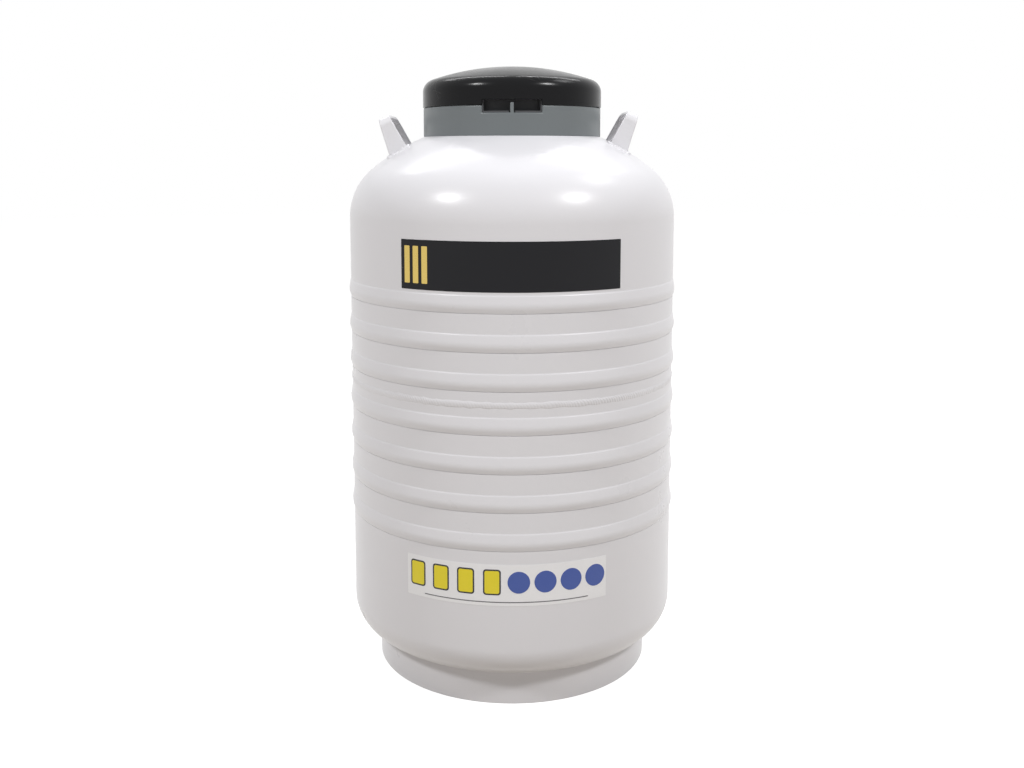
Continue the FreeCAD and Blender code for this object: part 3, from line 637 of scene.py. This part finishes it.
def turned(name, outline, material):
    """An outline of (radius, height) points turned about the vessel's axis."""
    mesh = bmesh.new()
    points = [mesh.verts.new((radius, 0.0, height)) for radius, height in outline]
    pairs = list(zip(points, points[1:]))
    if outline[0][0] > 0.0 or outline[-1][0] > 0.0:
        pairs.append((points[-1], points[0]))
    edges = [mesh.edges.new(pair) for pair in pairs]
    bmesh.ops.spin(mesh, geom=points + edges, cent=(0, 0, 0), axis=(0, 0, 1),
                   angle=math.tau, steps=TURN_STEPS, use_merge=True)
    bmesh.ops.remove_doubles(mesh, verts=mesh.verts, dist=MERGE_GAP)
    return to_object(name, mesh, material)


def from_front(radius, angle, height):
    """A point at an angle round the axis from the front."""
    return radius * math.sin(angle), -radius * math.cos(angle), height


def front_columns(edge):
    """Angles round the axis from the front, with two of them moved onto a notch's edges."""
    columns = [math.tau * step / TURN_STEPS - math.pi for step in range(TURN_STEPS)]
    for target in (-edge, edge):
        nearest = min(range(TURN_STEPS), key=lambda index: abs(columns[index] - target))
        columns[nearest] = target
    return columns


def notched_sheet(name, outline, edge, notch, material):
    """An outline turned into a sheet, without the squares between a notch's edges.

    notch is the notch's lowest and highest height.
    """
    mesh = bmesh.new()
    columns = front_columns(edge)
    rows = []
    for radius, height in outline:
        if radius < 0.01 * MM:
            rows.append([mesh.verts.new((0.0, 0.0, height))] * len(columns))
        else:
            rows.append([mesh.verts.new(from_front(radius, angle, height))
                         for angle in columns])
    for index, (lower, upper) in enumerate(zip(rows, rows[1:])):
        middle = (outline[index][1] + outline[index + 1][1]) / 2
        for here in range(len(columns)):
            there = (here + 1) % len(columns)
            turn_at = (columns[here] + columns[there]) / 2
            if there and abs(turn_at) < edge and notch[0] < middle < notch[1]:
                continue
            corners = [lower[here], lower[there], upper[there], upper[here]]
            mesh.faces.new(list(dict.fromkeys(corners)))
    loose = [vert for vert in mesh.verts if not vert.link_faces]
    bmesh.ops.delete(mesh, geom=loose, context="VERTS")
    return to_object(name, mesh, material)


def thicken(piece, wall, ease):
    """Give a sheet its thickness, inward, and round its edges."""
    solid = piece.modifiers.new("Wall", "SOLIDIFY")
    solid.thickness = wall
    solid.offset = -1.0
    solid.use_even_offset = True
    round_edges(piece, ease)


def round_edges(piece, ease):
    bevel = piece.modifiers.new("Edges", "BEVEL")
    bevel.width = ease
    bevel.segments = 3
    bevel.limit_method = "ANGLE"
    bevel.angle_limit = math.radians(50.0)
    bevel.harden_normals = True


def plate(name, loops, thickness, matrix, material, ease=0.0):
    """A flat plate with rounded edges, cut to its first loop and pierced by the others."""
    data = bpy.data.curves.new(name, "CURVE")
    data.dimensions = "2D"
    data.fill_mode = "BOTH"
    data.extrude = thickness / 2 - ease
    data.bevel_depth = ease
    data.bevel_resolution = 2
    data.offset = -ease
    for loop in loops:
        spline = data.splines.new("POLY")
        spline.points.add(len(loop) - 1)
        for point, (x, y) in zip(spline.points, loop):
            point.co = (x, y, 0.0, 1.0)
        spline.use_cyclic_u = True
    flat = bpy.data.objects.new(name, data)
    bpy.context.collection.objects.link(flat)
    bpy.context.view_layer.update()
    made = bpy.data.meshes.new_from_object(flat.evaluated_get(
        bpy.context.evaluated_depsgraph_get()))
    bpy.data.objects.remove(flat)
    bpy.data.curves.remove(data)
    made.transform(matrix)
    mesh = bmesh.new()
    mesh.from_mesh(made)
    bpy.data.meshes.remove(made)
    bmesh.ops.remove_doubles(mesh, verts=mesh.verts, dist=MERGE_GAP)
    return to_object(name, mesh, material, 40.0)


def bridge(mesh, loops):
    """Close the faces between each loop of points and the next."""
    for here, there in zip(loops, loops[1:]):
        for low in range(len(here)):
            high = (low + 1) % len(here)
            mesh.faces.new((here[low], here[high], there[high], there[low]))


def lay_weld(mesh, path, ups, half_width, rise, pitch, ripple, slant=0.0, soft=0.0):
    """Add a weld along a closed path, with its underside sunk in the surface.

    ripple is the share of its rise that the ripples take where they are strongest; slant is
    how far they lean, in ripples from one side of the weld to the other; soft is how much
    more gently the side on the path's left rises than the other.
    """
    across_steps = 12
    sink = 0.4 * MM
    loops = []
    run = 0.0
    whole = sum((ahead - point).length for point, ahead in zip(path, path[1:] + path[:1]))
    pitch = whole / round(whole / pitch)
    for index, (point, up) in enumerate(zip(path, ups)):
        ahead = path[(index + 1) % len(path)]
        along = (ahead - path[index - 1]).normalized()
        side = along.cross(up).normalized()
        # Noise moves the ripples along, swells the weld and fades the ripples here and there.
        drift = noise.noise(point * 45)
        swell = 1 + 0.25 * noise.noise(point * 120)
        depth = ripple * min(1.0, max(0.35, 0.75 + 1.4 * noise.noise(point * 9)))
        loop = []
        for step in range(across_steps + 1):
            u = 2 * step / across_steps - 1
            crest = max(0.0, 1 - u * u) ** (0.5 + soft * (1 - u))
            phase = run / pitch + slant * u / 2 + 0.45 * u * u + 0.8 * drift
            trough = 1 - abs(math.sin(math.pi * phase))
            height = rise * crest * swell * (1 - depth * trough) - sink * (1 - crest)
            shift = u * half_width * swell + 0.12 * half_width * drift
            loop.append(mesh.verts.new(point + side * shift + up * height))
        for u in (0.6, -0.6):
            loop.append(mesh.verts.new(point + side * u * half_width - up * 2 * sink))
        loops.append(loop)
        run += (ahead - point).length
    bridge(mesh, loops + loops[:1])


def join(name, pieces):
    """Join objects into the first of them and name it."""
    target = pieces[0]
    with bpy.context.temp_override(active_object=target, object=target,
                                   selected_objects=pieces,
                                   selected_editable_objects=pieces):
        bpy.ops.object.join()
    target.name = name
    return target


def fit(piece, slot, *nodes, body="vessel"):
    """Let a piece move with its body and stand for its CAD nodes."""
    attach(piece, body)
    if nodes:
        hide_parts(*nodes)


def coat(name, *nodes):
    """Give CAD nodes that stay in view their finish."""
    for node in nodes:
        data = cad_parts[node].data
        data.materials.clear()
        data.materials.append(finish(name))


def label_patch(name, settings, middle, low, high, width, corner, layer, ink):
    """A patch of film on the shell: middle and width run along its surface from the front."""
    glue = 0.05 * MM
    film = settings.label.film
    radius = settings.shell.radius + glue + layer * film
    mesh = bmesh.new()
    column = 2 * MM
    steps = max(24, int(width / column))
    rows = []
    for step in range(steps + 1):
        u = -math.cos(math.pi * step / steps)
        along = u * width / 2
        inside = max(0.0, abs(along) - (width / 2 - corner))
        cut = corner - math.sqrt(max(0.0, corner ** 2 - inside ** 2))
        angle = (middle + along) / settings.shell.radius
        rows.append([mesh.verts.new(from_front(radius, angle, height))
                     for height in (low + cut, high - cut)])
    for here, there in zip(rows, rows[1:]):
        mesh.faces.new((here[0], there[0], there[1], here[1]))
    bmesh.ops.remove_doubles(mesh, verts=mesh.verts, dist=MERGE_GAP)
    mesh.normal_update()
    bmesh.ops.solidify(mesh, geom=mesh.faces[:], thickness=film)
    return to_object(name, mesh, finish(ink))


# Operators, one for each piece or group of like pieces.

class VESSEL_OT_finishes(Operator):
    """Build the shared texture groups"""

    bl_idname = "vessel.finishes"
    bl_label = "Texture Groups"

    def execute(self, context):
        for make_group in GROUP_MAKERS:
            make_group()
        return {"FINISHED"}


class VESSEL_OT_shells(Operator):
    """Build the ribbed upper and lower shells and the weld over their seam"""

    bl_idname = "vessel.shells"
    bl_label = "Ribbed Shells"

    def execute(self, context):
        size = context.scene.vessel.shell
        enamel = finish("White enamel")
        upper = turned("ribbed_upper_shell", upper_outline(size), enamel)
        fit(upper, "white_enamel", "upper_shell")
        lower = turned("ribbed_lower_shell", lower_outline(size), enamel)
        fit(lower, "white_enamel", "lower_shell")

        mesh = bmesh.new()
        steps = 2400
        ups = [Vector((math.cos(math.tau * step / steps), math.sin(math.tau * step / steps), 0.0))
               for step in range(steps)]
        path = [up * size.radius + Vector((0.0, 0.0, size.seam)) for up in ups]
        lay_weld(mesh, path, ups, size.weld_width / 2, size.weld_rise, size.weld_pitch,
                 ripple=0.6, slant=-1.6, soft=0.6)
        seam = to_object("seam_weld", mesh, enamel, 60.0)
        fit(seam, "white_enamel", "girth_weld")
        return {"FINISHED"}


class VESSEL_OT_foot(Operator):
    """Build the foot ring with its rolled edge and its flare under the shell"""

    bl_idname = "vessel.foot"
    bl_label = "Foot Ring"

    def execute(self, context):
        size = context.scene.vessel.shell
        inner = size.foot - size.foot_wall
        flare = 1.2 * MM
        top = base_at(size, size.foot)
        # Each corner: its radius, its height and its rounding.
        outline = rounded([
            (inner, 0.0, 1.0 * MM),
            (size.foot, 0.0, 1.3 * MM),
            (size.foot, top - flare, 0.8 * MM),
            (size.foot + flare, base_at(size, size.foot + flare) + 0.3 * MM, 0.0),
            (inner, base_at(size, inner) + 0.5 * MM, 0.0),
        ])
        ring = turned("foot_ring_rolled", outline, finish("White enamel"))
        fit(ring, "white_enamel", "foot_ring")
        return {"FINISHED"}


class VESSEL_OT_collar(Operator):
    """Build the grey collar with its notch and the lug that takes the padlock"""

    bl_idname = "vessel.collar"
    bl_label = "Collar and Lug"

    def execute(self, context):
        size = context.scene.vessel.neck
        enamel = finish("Grey enamel")
        edge = math.asin(size.notch_width / 2 / size.collar)
        notch_low = size.collar_top - size.notch_depth
        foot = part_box("neck_collar")[0].z
        rows = [foot, (foot + notch_low) / 2, notch_low - EDGE_ROW, notch_low,
                (notch_low + size.collar_top) / 2, size.collar_top - EDGE_ROW, size.collar_top]
        collar = notched_sheet("collar", [(size.collar, height) for height in rows], edge,
                               (notch_low, 1.0), enamel)
        thicken(collar, size.collar_wall, size.ease)
        fit(collar, "grey_enamel", "neck_collar")

        low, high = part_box("lock_lug")
        corner = 2.5 * MM
        outline = rounded([
            (low.y, low.z, 0.0),
            (high.y, low.z, 0.0),
            (high.y, high.z, corner),
            (low.y, high.z, corner / 2),
        ])
        hole = arc((low.y + size.hole_setback, size.hole_height), size.hole, 0.0, math.tau,
                   40)[:-1]
        upright = Matrix(((0, 0, 1, 0), (1, 0, 0, 0), (0, 1, 0, 0), (0, 0, 0, 1)))
        lug = plate("padlock_lug", [outline, hole], high.x - low.x, upright, enamel, size.ease)
        fit(lug, "grey_enamel", "lock_lug")
        return {"FINISHED"}


class VESSEL_OT_handles(Operator):
    """Build the two bent strap handles and the welds round their feet"""

    bl_idname = "vessel.handles"
    bl_label = "Carrying Handles"

    def execute(self, context):
        settings = context.scene.vessel
        enamel = finish("White enamel")
        for side, spin in (("right", 0.0), ("left", math.pi)):
            axes = self.stand(settings, getattr(settings.handle, f"{side}_foot"))
            strap = bmesh.new()
            self.bend_strap(strap, settings.handle, axes)
            weld = bmesh.new()
            for sign in (-1.0, 1.0):
                self.weld_foot(weld, settings, axes, sign)
            for mesh in (strap, weld):
                bmesh.ops.rotate(mesh, verts=mesh.verts, cent=(0, 0, 0),
                                 matrix=Matrix.Rotation(spin, 3, "Z"))
            bent = to_object(f"strap_handle_{side}", strap, enamel, 40.0)
            round_edges(bent, settings.handle.ease)
            fit(bent, "white_enamel", f"handle_{side}")
            beads = to_object(f"foot_welds_{side}", weld, enamel, 60.0)
            fit(beads, "white_enamel", f"handle_beads_{side}")
        return {"FINISHED"}

    def stand(self, settings, radius):
        """The foot where the legs meet the crown, and the ways up, across and along."""
        size = settings.handle
        leg_radius = math.hypot(radius, (size.span - size.thickness) / 2)
        height = crown_centre(settings.shell) + math.sqrt(
            settings.shell.crown ** 2 - leg_radius ** 2)
        foot = Vector((radius, 0.0, height))
        up = Vector((math.sin(size.lean), 0.0, math.cos(size.lean)))
        wide = Vector((math.cos(size.lean), 0.0, -math.sin(size.lean)))
        return foot, up, wide, Vector((0.0, 1.0, 0.0))

    def bend_strap(self, mesh, size, axes):
        """Sweep the tapering section along the strap's bent middle line."""
        foot, up, wide, span = axes
        half = (size.span - size.thickness) / 2
        top = size.rise - size.thickness / 2
        bend = size.corner - size.thickness / 2
        right = arc((half - bend, top - bend), bend, 0.0, math.pi / 2, 12)
        left = arc((bend - half, top - bend), bend, math.pi / 2, math.pi, 12)
        line = [(half, -size.root)] + right + left + [(-half, -size.root)]
        slope = (size.foot_width - size.top_width) / 2 / size.rise
        loops = []
        for index, (x, height) in enumerate(line):
            before = Vector(line[max(index - 1, 0)])
            after = Vector(line[min(index + 1, len(line) - 1)])
            along = (after - before).normalized()
            out = Vector((along.y, -along.x))
            loop = []
            for across, through in ((-1, -1), (1, -1), (1, 1), (-1, 1)):
                x_at = x + out.x * through * size.thickness / 2
                h_at = height + out.y * through * size.thickness / 2
                breadth = size.foot_width / 2 - h_at * slope
                loop.append(mesh.verts.new(foot + span * x_at + up * h_at
                                           + wide * across * breadth))
            loops.append(loop)
        bridge(mesh, loops)
        mesh.faces.new(loops[0])
        mesh.faces.new(loops[-1])

    def weld_foot(self, mesh, settings, axes, sign):
        """Lay a weld round one leg where it meets the crown."""
        size = settings.handle
        shell = settings.shell
        foot, up, wide, span = axes
        centre = Vector((0.0, 0.0, crown_centre(shell)))
        outset = 1.6 * MM
        spacing = 0.6 * MM
        half_wide = size.foot_width / 2 + outset
        half_thick = size.thickness / 2 + outset
        corners = [(-half_wide, -half_thick), (half_wide, -half_thick),
                   (half_wide, half_thick), (-half_wide, half_thick)]
        bend = 3.0 * MM
        loop = rounded([(x, y, bend) for x, y in corners], 8)
        dense = []
        for here, there in zip(loop, loop[1:] + loop[:1]):
            parts = max(1, round(math.dist(here, there) / spacing))
            dense += [(here[0] + (there[0] - here[0]) * part / parts,
                       here[1] + (there[1] - here[1]) * part / parts) for part in range(parts)]
        leg = foot + span * sign * (size.span - size.thickness) / 2
        path = []
        ups = []
        for across, through in dense:
            start = leg + wide * across + span * through - centre
            drop = start.dot(up) - math.sqrt(start.dot(up) ** 2 - start.length_squared
                                             + shell.crown ** 2)
            point = start - up * drop
            path.append(point + centre)
            ups.append(point.normalized())
        lay_weld(mesh, path, ups, half_width=3.9 * MM, rise=3.1 * MM, pitch=4.0 * MM,
                 ripple=0.6)


class VESSEL_OT_lid(Operator):
    """Build the domed lid and the lock's pocket in its front"""

    bl_idname = "vessel.lid"
    bl_label = "Domed Lid"

    def execute(self, context):
        settings = context.scene.vessel
        size = settings.lid
        neck = settings.neck
        side_play = 0.4 * MM
        floor_play = 0.3 * MM
        half = neck.notch_width / 2 - side_play
        edge = math.asin(half / size.radius)
        dome = notched_sheet("dome", self.dome_outline(size, neck), edge,
                             (0.0, size.pocket_top), finish("Black lid plastic"))
        thicken(dome, size.wall, size.ease)
        floor_low = neck.collar_top - neck.notch_depth + floor_play
        # The pocket's walls, floor and ceiling take the lightened plastic, as painted reflected
        # light.
        tray = self.pocket(size, half, floor_low, finish("Matt pocket plastic"))
        fit(dome, "lid_plastic", "lid_cover", body="lid")
        fit(tray, "lid_plastic", "lid_cover", body="lid")
        return {"FINISHED"}

    def dome_outline(self, size, neck):
        """From the rim up the side, round the edge and over the crown."""
        centre = size.radius - size.edge
        reach = size.crown - size.edge
        crown_height = size.apex - size.crown
        edge_height = crown_height + math.sqrt(reach ** 2 - centre ** 2)
        meeting = math.acos(centre / reach)
        side = [(size.radius, height) for height in
                (neck.collar_top + size.rim_gap, neck.collar_top + EDGE_ROW, size.pocket_top,
                 size.pocket_top + EDGE_ROW, (size.pocket_top + edge_height) / 2)]
        bend = arc((centre, edge_height), size.edge, 0.0, meeting, 14)
        crown = arc((0.0, crown_height), size.crown, meeting, math.pi / 2, 30)[1:]
        return side + bend + crown

    def pocket(self, size, half, floor_low, plastic):
        """The pocket's walls, floor and ceiling, joined into one moulding."""
        front = size.radius - size.pocket_inset
        back = -(size.radius - size.pocket_depth) + size.pocket_wall
        wall = size.pocket_wall
        lip = -math.sqrt(front ** 2 - half ** 2)
        around = self.rear_run(half, lip, back, size.pocket_bend)
        mesh = bmesh.new()
        rows = [[mesh.verts.new((x, y, z)) for x, y in around]
                for z in (floor_low, size.pocket_top + wall)]
        for here in range(len(around) - 1):
            mesh.faces.new((rows[0][here], rows[0][here + 1],
                            rows[1][here + 1], rows[1][here]))
        mesh.normal_update()
        bmesh.ops.solidify(mesh, geom=mesh.faces[:], thickness=-wall)
        sides = to_object("lid_pocket", mesh, plastic)

        low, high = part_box("lock_lug")
        gap = 1.5 * MM
        slot = high.x + gap
        slot_back = high.y + gap
        mid = half - wall / 2
        rear = self.rear_run(mid, lip, back - wall / 2, size.pocket_bend - wall / 2)[-2:0:-1]
        floor = self.lip_arc(front, -mid, -slot)
        floor += [(-slot, slot_back), (slot, slot_back)]
        floor += self.lip_arc(front, slot, mid) + rear
        ceiling = self.lip_arc(front, -mid, mid) + rear
        levels = ((floor, floor_low + wall / 2, "floor"),
                  (ceiling, size.pocket_top + wall / 2, "ceiling"))
        plates = [plate(f"pocket_{label}", [loop], wall,
                        Matrix.Translation((0.0, 0.0, height)), plastic)
                  for loop, height, label in levels]
        return join("lid_pocket", [sides] + plates)

    def rear_run(self, half, lip, back, bend):
        """The run of the pocket's walls from its left lip round the back to its right one."""
        return rounded([(-half, lip, 0.0), (-half, back, bend), (half, back, bend),
                        (half, lip, 0.0)], 12)

    def lip_arc(self, radius, start, end):
        """Points along the front of a plate, on a circle about the lid's axis."""
        places = [start + (end - start) * step / 16 for step in range(17)]
        return [(x, -math.sqrt(radius ** 2 - x ** 2)) for x in places]


class VESSEL_OT_under_lid(Operator):
    """Finish the liner, its screws and the neck plug"""

    bl_idname = "vessel.under_lid"
    bl_label = "Liner and Plug"

    def execute(self, context):
        coat("Pale liner plastic", "lid_liner")
        coat("Plug foam", "neck_plug")
        coat("Plain screw steel", "liner_screws")
        return {"FINISHED"}


class VESSEL_OT_neck(Operator):
    """Finish the neck flange, the neck tube and the index ring"""

    bl_idname = "vessel.neck"
    bl_label = "Neck"

    def execute(self, context):
        coat("Spun aluminium", "neck_flange")
        coat("Wound glass laminate", "neck_tube")
        coat("Pale index plastic", "index_ring")
        return {"FINISHED"}


class VESSEL_OT_canisters(Operator):
    """Finish the six canisters and their grips"""

    bl_idname = "vessel.canisters"
    bl_label = "Canisters"

    def execute(self, context):
        numbers = range(1, 7)
        coat("Drawn canister metal", *(f"canister_{number}" for number in numbers))
        coat("Red grip plastic", *(f"canister_grip_{number}" for number in numbers))
        return {"FINISHED"}


class VESSEL_OT_inside(Operator):
    """Finish the inner vessel, its wrap and sieve pack, the locator and the vacuum port"""

    bl_idname = "vessel.inside"
    bl_label = "Inner Vessel and Port"

    def execute(self, context):
        coat("Spun aluminium", "inner_vessel", "canister_locator", "vacuum_port")
        coat("Foil wrap", "insulation_wrap")
        coat("Sieve cloth", "sieve_pack")
        coat("Black rubber", "port_cap")
        return {"FINISHED"}


class VESSEL_OT_labels(Operator):
    """Build the dark band with its gold bars and the pale strip with its fields of colour"""

    bl_idname = "vessel.labels"
    bl_label = "Plain Labels"

    def execute(self, context):
        settings = context.scene.vessel
        size = settings.label
        film_corner = 0.8 * MM
        middle = -size.band_shift
        band = label_patch("front_band", settings, middle, size.band_low, size.band_high,
                           size.band_width, film_corner, 1, "Dark film")
        fit(band, "white_enamel")
        end_gap = 10 * MM
        first = middle - size.band_width / 2 + end_gap
        margin = 8 * MM
        bars = [label_patch("bar", settings, first + index * size.bar_pitch,
                            size.band_low + margin, size.band_high - margin,
                            size.bar_width, 1.0 * MM, 2, "Gold foil")
                for index in range(size.bars)]
        fit(join("front_band_bars", bars), "white_enamel")

        middle = -size.strip_shift
        strip = label_patch("base_strip", settings, middle, size.strip_low, size.strip_high,
                            size.strip_width, film_corner, 1, "Pale film")
        fit(strip, "white_enamel")
        pitch = size.strip_width / (2 * size.fields)
        lift = 4.0 * MM
        centre = (size.strip_low + size.strip_high) / 2 + lift
        low = centre - size.tile_height / 2
        high = centre + size.tile_height / 2
        line = 2.0 * MM
        half = size.disc / 2
        fields = []
        for index in range(size.fields):
            at = middle + (index - size.fields + 0.5) * pitch
            fields.append(label_patch("frame", settings, at, low, high, size.tile,
                                      4 * MM, 2, "Black ink"))
            fields.append(label_patch("tile", settings, at, low + line, high - line,
                                      size.tile - 2 * line, 2.5 * MM, 3, "Yellow ink"))
            at = middle + (index + 0.5) * pitch
            fields.append(label_patch("disc", settings, at, centre - half, centre + half,
                                      size.disc, half, 2, "Blue ink"))
        rule_low = size.strip_low + 4.4 * MM
        rule_high = size.strip_low + 5.6 * MM
        rule_length = size.strip_width * 0.8
        fields.append(label_patch("rule", settings, middle, rule_low, rule_high, rule_length,
                                  0.4 * MM, 2, "Grey ink"))
        fit(join("base_strip_fields", fields), "white_enamel")
        return {"FINISHED"}


class VESSEL_OT_stage(Operator):
    """Build the pale floor, the soft lamps, the world and the camera"""

    bl_idname = "vessel.stage"
    bl_label = "Stage"

    def execute(self, context):
        stage = context.scene.vessel.stage
        self.lay_floor()
        self.light_world(context.scene, stage.ambient)
        middle = (0.0, 0.0, 0.45)
        softbox = (0.5, 0.45)
        strip = (1.6, 0.18)
        self.lamp("Left softbox", (-2.12, -1.81, 2.74), middle, softbox, stage.left_lamp)
        self.lamp("Right softbox", (2.14, -1.80, 2.74), middle, softbox, stage.right_lamp)
        self.lamp("Side softbox", (1.3, 0.1, 2.3), middle, softbox, stage.side_lamp)
        for side in (-1.0, 1.0):
            self.lamp("Rear strip", (side * 0.85, 1.1, 2.6), (side * 1.2, 0.0, 0.45), strip,
                      stage.strip_lamps)
        self.set_camera(context.scene, stage)
        context.scene.view_settings.view_transform = "Standard"
        return {"FINISHED"}

    def is_seen(self, nodes):
        """1 for a ray from the camera or off gloss or glass, and 0 for the rest."""
        path = nodes.add("ShaderNodeLightPath").outputs
        thrown = nodes.calculate("MAXIMUM", path["Is Glossy Ray"], path["Is Transmission Ray"])
        return nodes.calculate("MAXIMUM", path["Is Camera Ray"], thrown)

    def lay_floor(self):
        """A wide disc that looks white and still takes the vessel's shadow."""
        mesh = bmesh.new()
        bmesh.ops.create_circle(mesh, cap_ends=True, radius=12.0, segments=96)
        material = bpy.data.materials.new("Pale floor")
        material.use_nodes = True
        nodes = Nodes(material.node_tree)
        output = material.node_tree.nodes["Material Output"]
        material.node_tree.nodes.remove(material.node_tree.nodes["Principled BSDF"])
        seen = self.is_seen(nodes)
        bounce = (0.48, 0.43, 0.37, 1.0)
        glow_share = 0.62
        grit = nodes.grain(nodes.place(), 40.0)
        paint = nodes.mixed(grit, (0.84, 0.84, 0.84, 1.0), (0.88, 0.88, 0.88, 1.0))
        matt = nodes.result("ShaderNodeBsdfDiffuse", {
            "Color": nodes.mixed(seen, bounce, paint)})
        glow = nodes.result("ShaderNodeEmission", {"Color": WHITE, "Strength": 1.44})
        both = nodes.result("ShaderNodeMixShader", {
            0: nodes.times(seen, glow_share), 1: matt, 2: glow})
        nodes.feed(output.inputs["Surface"], both)
        to_object("floor", mesh, material)

    def light_world(self, scene, ambient):
        """White where it is seen, and an even soft light elsewhere."""
        world = bpy.data.worlds.new("Studio")
        world.use_nodes = True
        scene.world = world
        nodes = Nodes(world.node_tree)
        level = nodes.ranged(self.is_seen(nodes), 0.0, 1.0, ambient, 1.0)
        background = world.node_tree.nodes["Background"]
        background.inputs["Color"].default_value = WHITE
        nodes.feed(background.inputs["Strength"], level)

    def lamp(self, name, place, target, size, watts):
        data = bpy.data.lights.new(name, "AREA")
        data.shape = "RECTANGLE"
        data.size, data.size_y = size
        data.energy = watts
        lamp = bpy.data.objects.new(name, data)
        lamp.location = place
        lamp.rotation_mode = "QUATERNION"
        lamp.rotation_quaternion = (Vector(target) - Vector(place)).to_track_quat("-Z", "Y")
        bpy.context.collection.objects.link(lamp)

    def set_camera(self, scene, stage):
        """The photograph's view, in a picture of 1024 by 768."""
        width, height = 1024, 768
        data = bpy.data.cameras.new("Camera")
        data.sensor_width = 36.0
        data.lens = stage.focal_pixels / width * data.sensor_width
        data.shift_y = (stage.axis_row - height / 2) / width
        data.clip_start = 0.05
        data.clip_end = 50.0
        camera = bpy.data.objects.new("Camera", data)
        camera.location = (0.0, -stage.camera_distance, stage.camera_height)
        camera.rotation_euler = (math.pi / 2 - stage.camera_pitch, 0.0, 0.0)
        bpy.context.collection.objects.link(camera)
        scene.camera = camera


STEPS = (VESSEL_OT_finishes, VESSEL_OT_shells, VESSEL_OT_foot, VESSEL_OT_collar,
         VESSEL_OT_handles, VESSEL_OT_lid, VESSEL_OT_under_lid, VESSEL_OT_neck,
         VESSEL_OT_canisters, VESSEL_OT_inside, VESSEL_OT_labels, VESSEL_OT_stage)


class VESSEL_PT_sidebar(Panel):
    """Lists the steps and the settings in the sidebar"""

    bl_idname = "VESSEL_PT_sidebar"
    bl_label = "Liquid Nitrogen Vessel"
    bl_space_type = "VIEW_3D"
    bl_region_type = "UI"
    bl_category = "Vessel"

    def draw(self, context):
        column = self.layout.column(align=True)
        for step in STEPS:
            column.operator(step.bl_idname)
        settings = context.scene.vessel
        for group in ("shell", "neck", "handle", "lid", "label", "colour", "stage"):
            box = self.layout.box()
            box.label(text=group.capitalize())
            chosen = getattr(settings, group)
            for name in chosen.__annotations__:
                box.prop(chosen, name)


CLASSES = (ShellSizes, NeckSizes, HandleSizes, LidSizes, LabelSizes, FinishColours,
           StageSettings, VesselSettings, *STEPS, VESSEL_PT_sidebar)


def register():
    for item in CLASSES:
        bpy.utils.register_class(item)
    bpy.types.Scene.vessel = PointerProperty(type=VesselSettings, name="Vessel",
                                             description="Settings of the vessel")


def unregister():
    del bpy.types.Scene.vessel
    for item in reversed(CLASSES):
        bpy.utils.unregister_class(item)


def main():
    register()
    for step in STEPS:
        group, name = step.bl_idname.split(".")
        getattr(getattr(bpy.ops, group), name)()


if __name__ == "__main__":
    main()
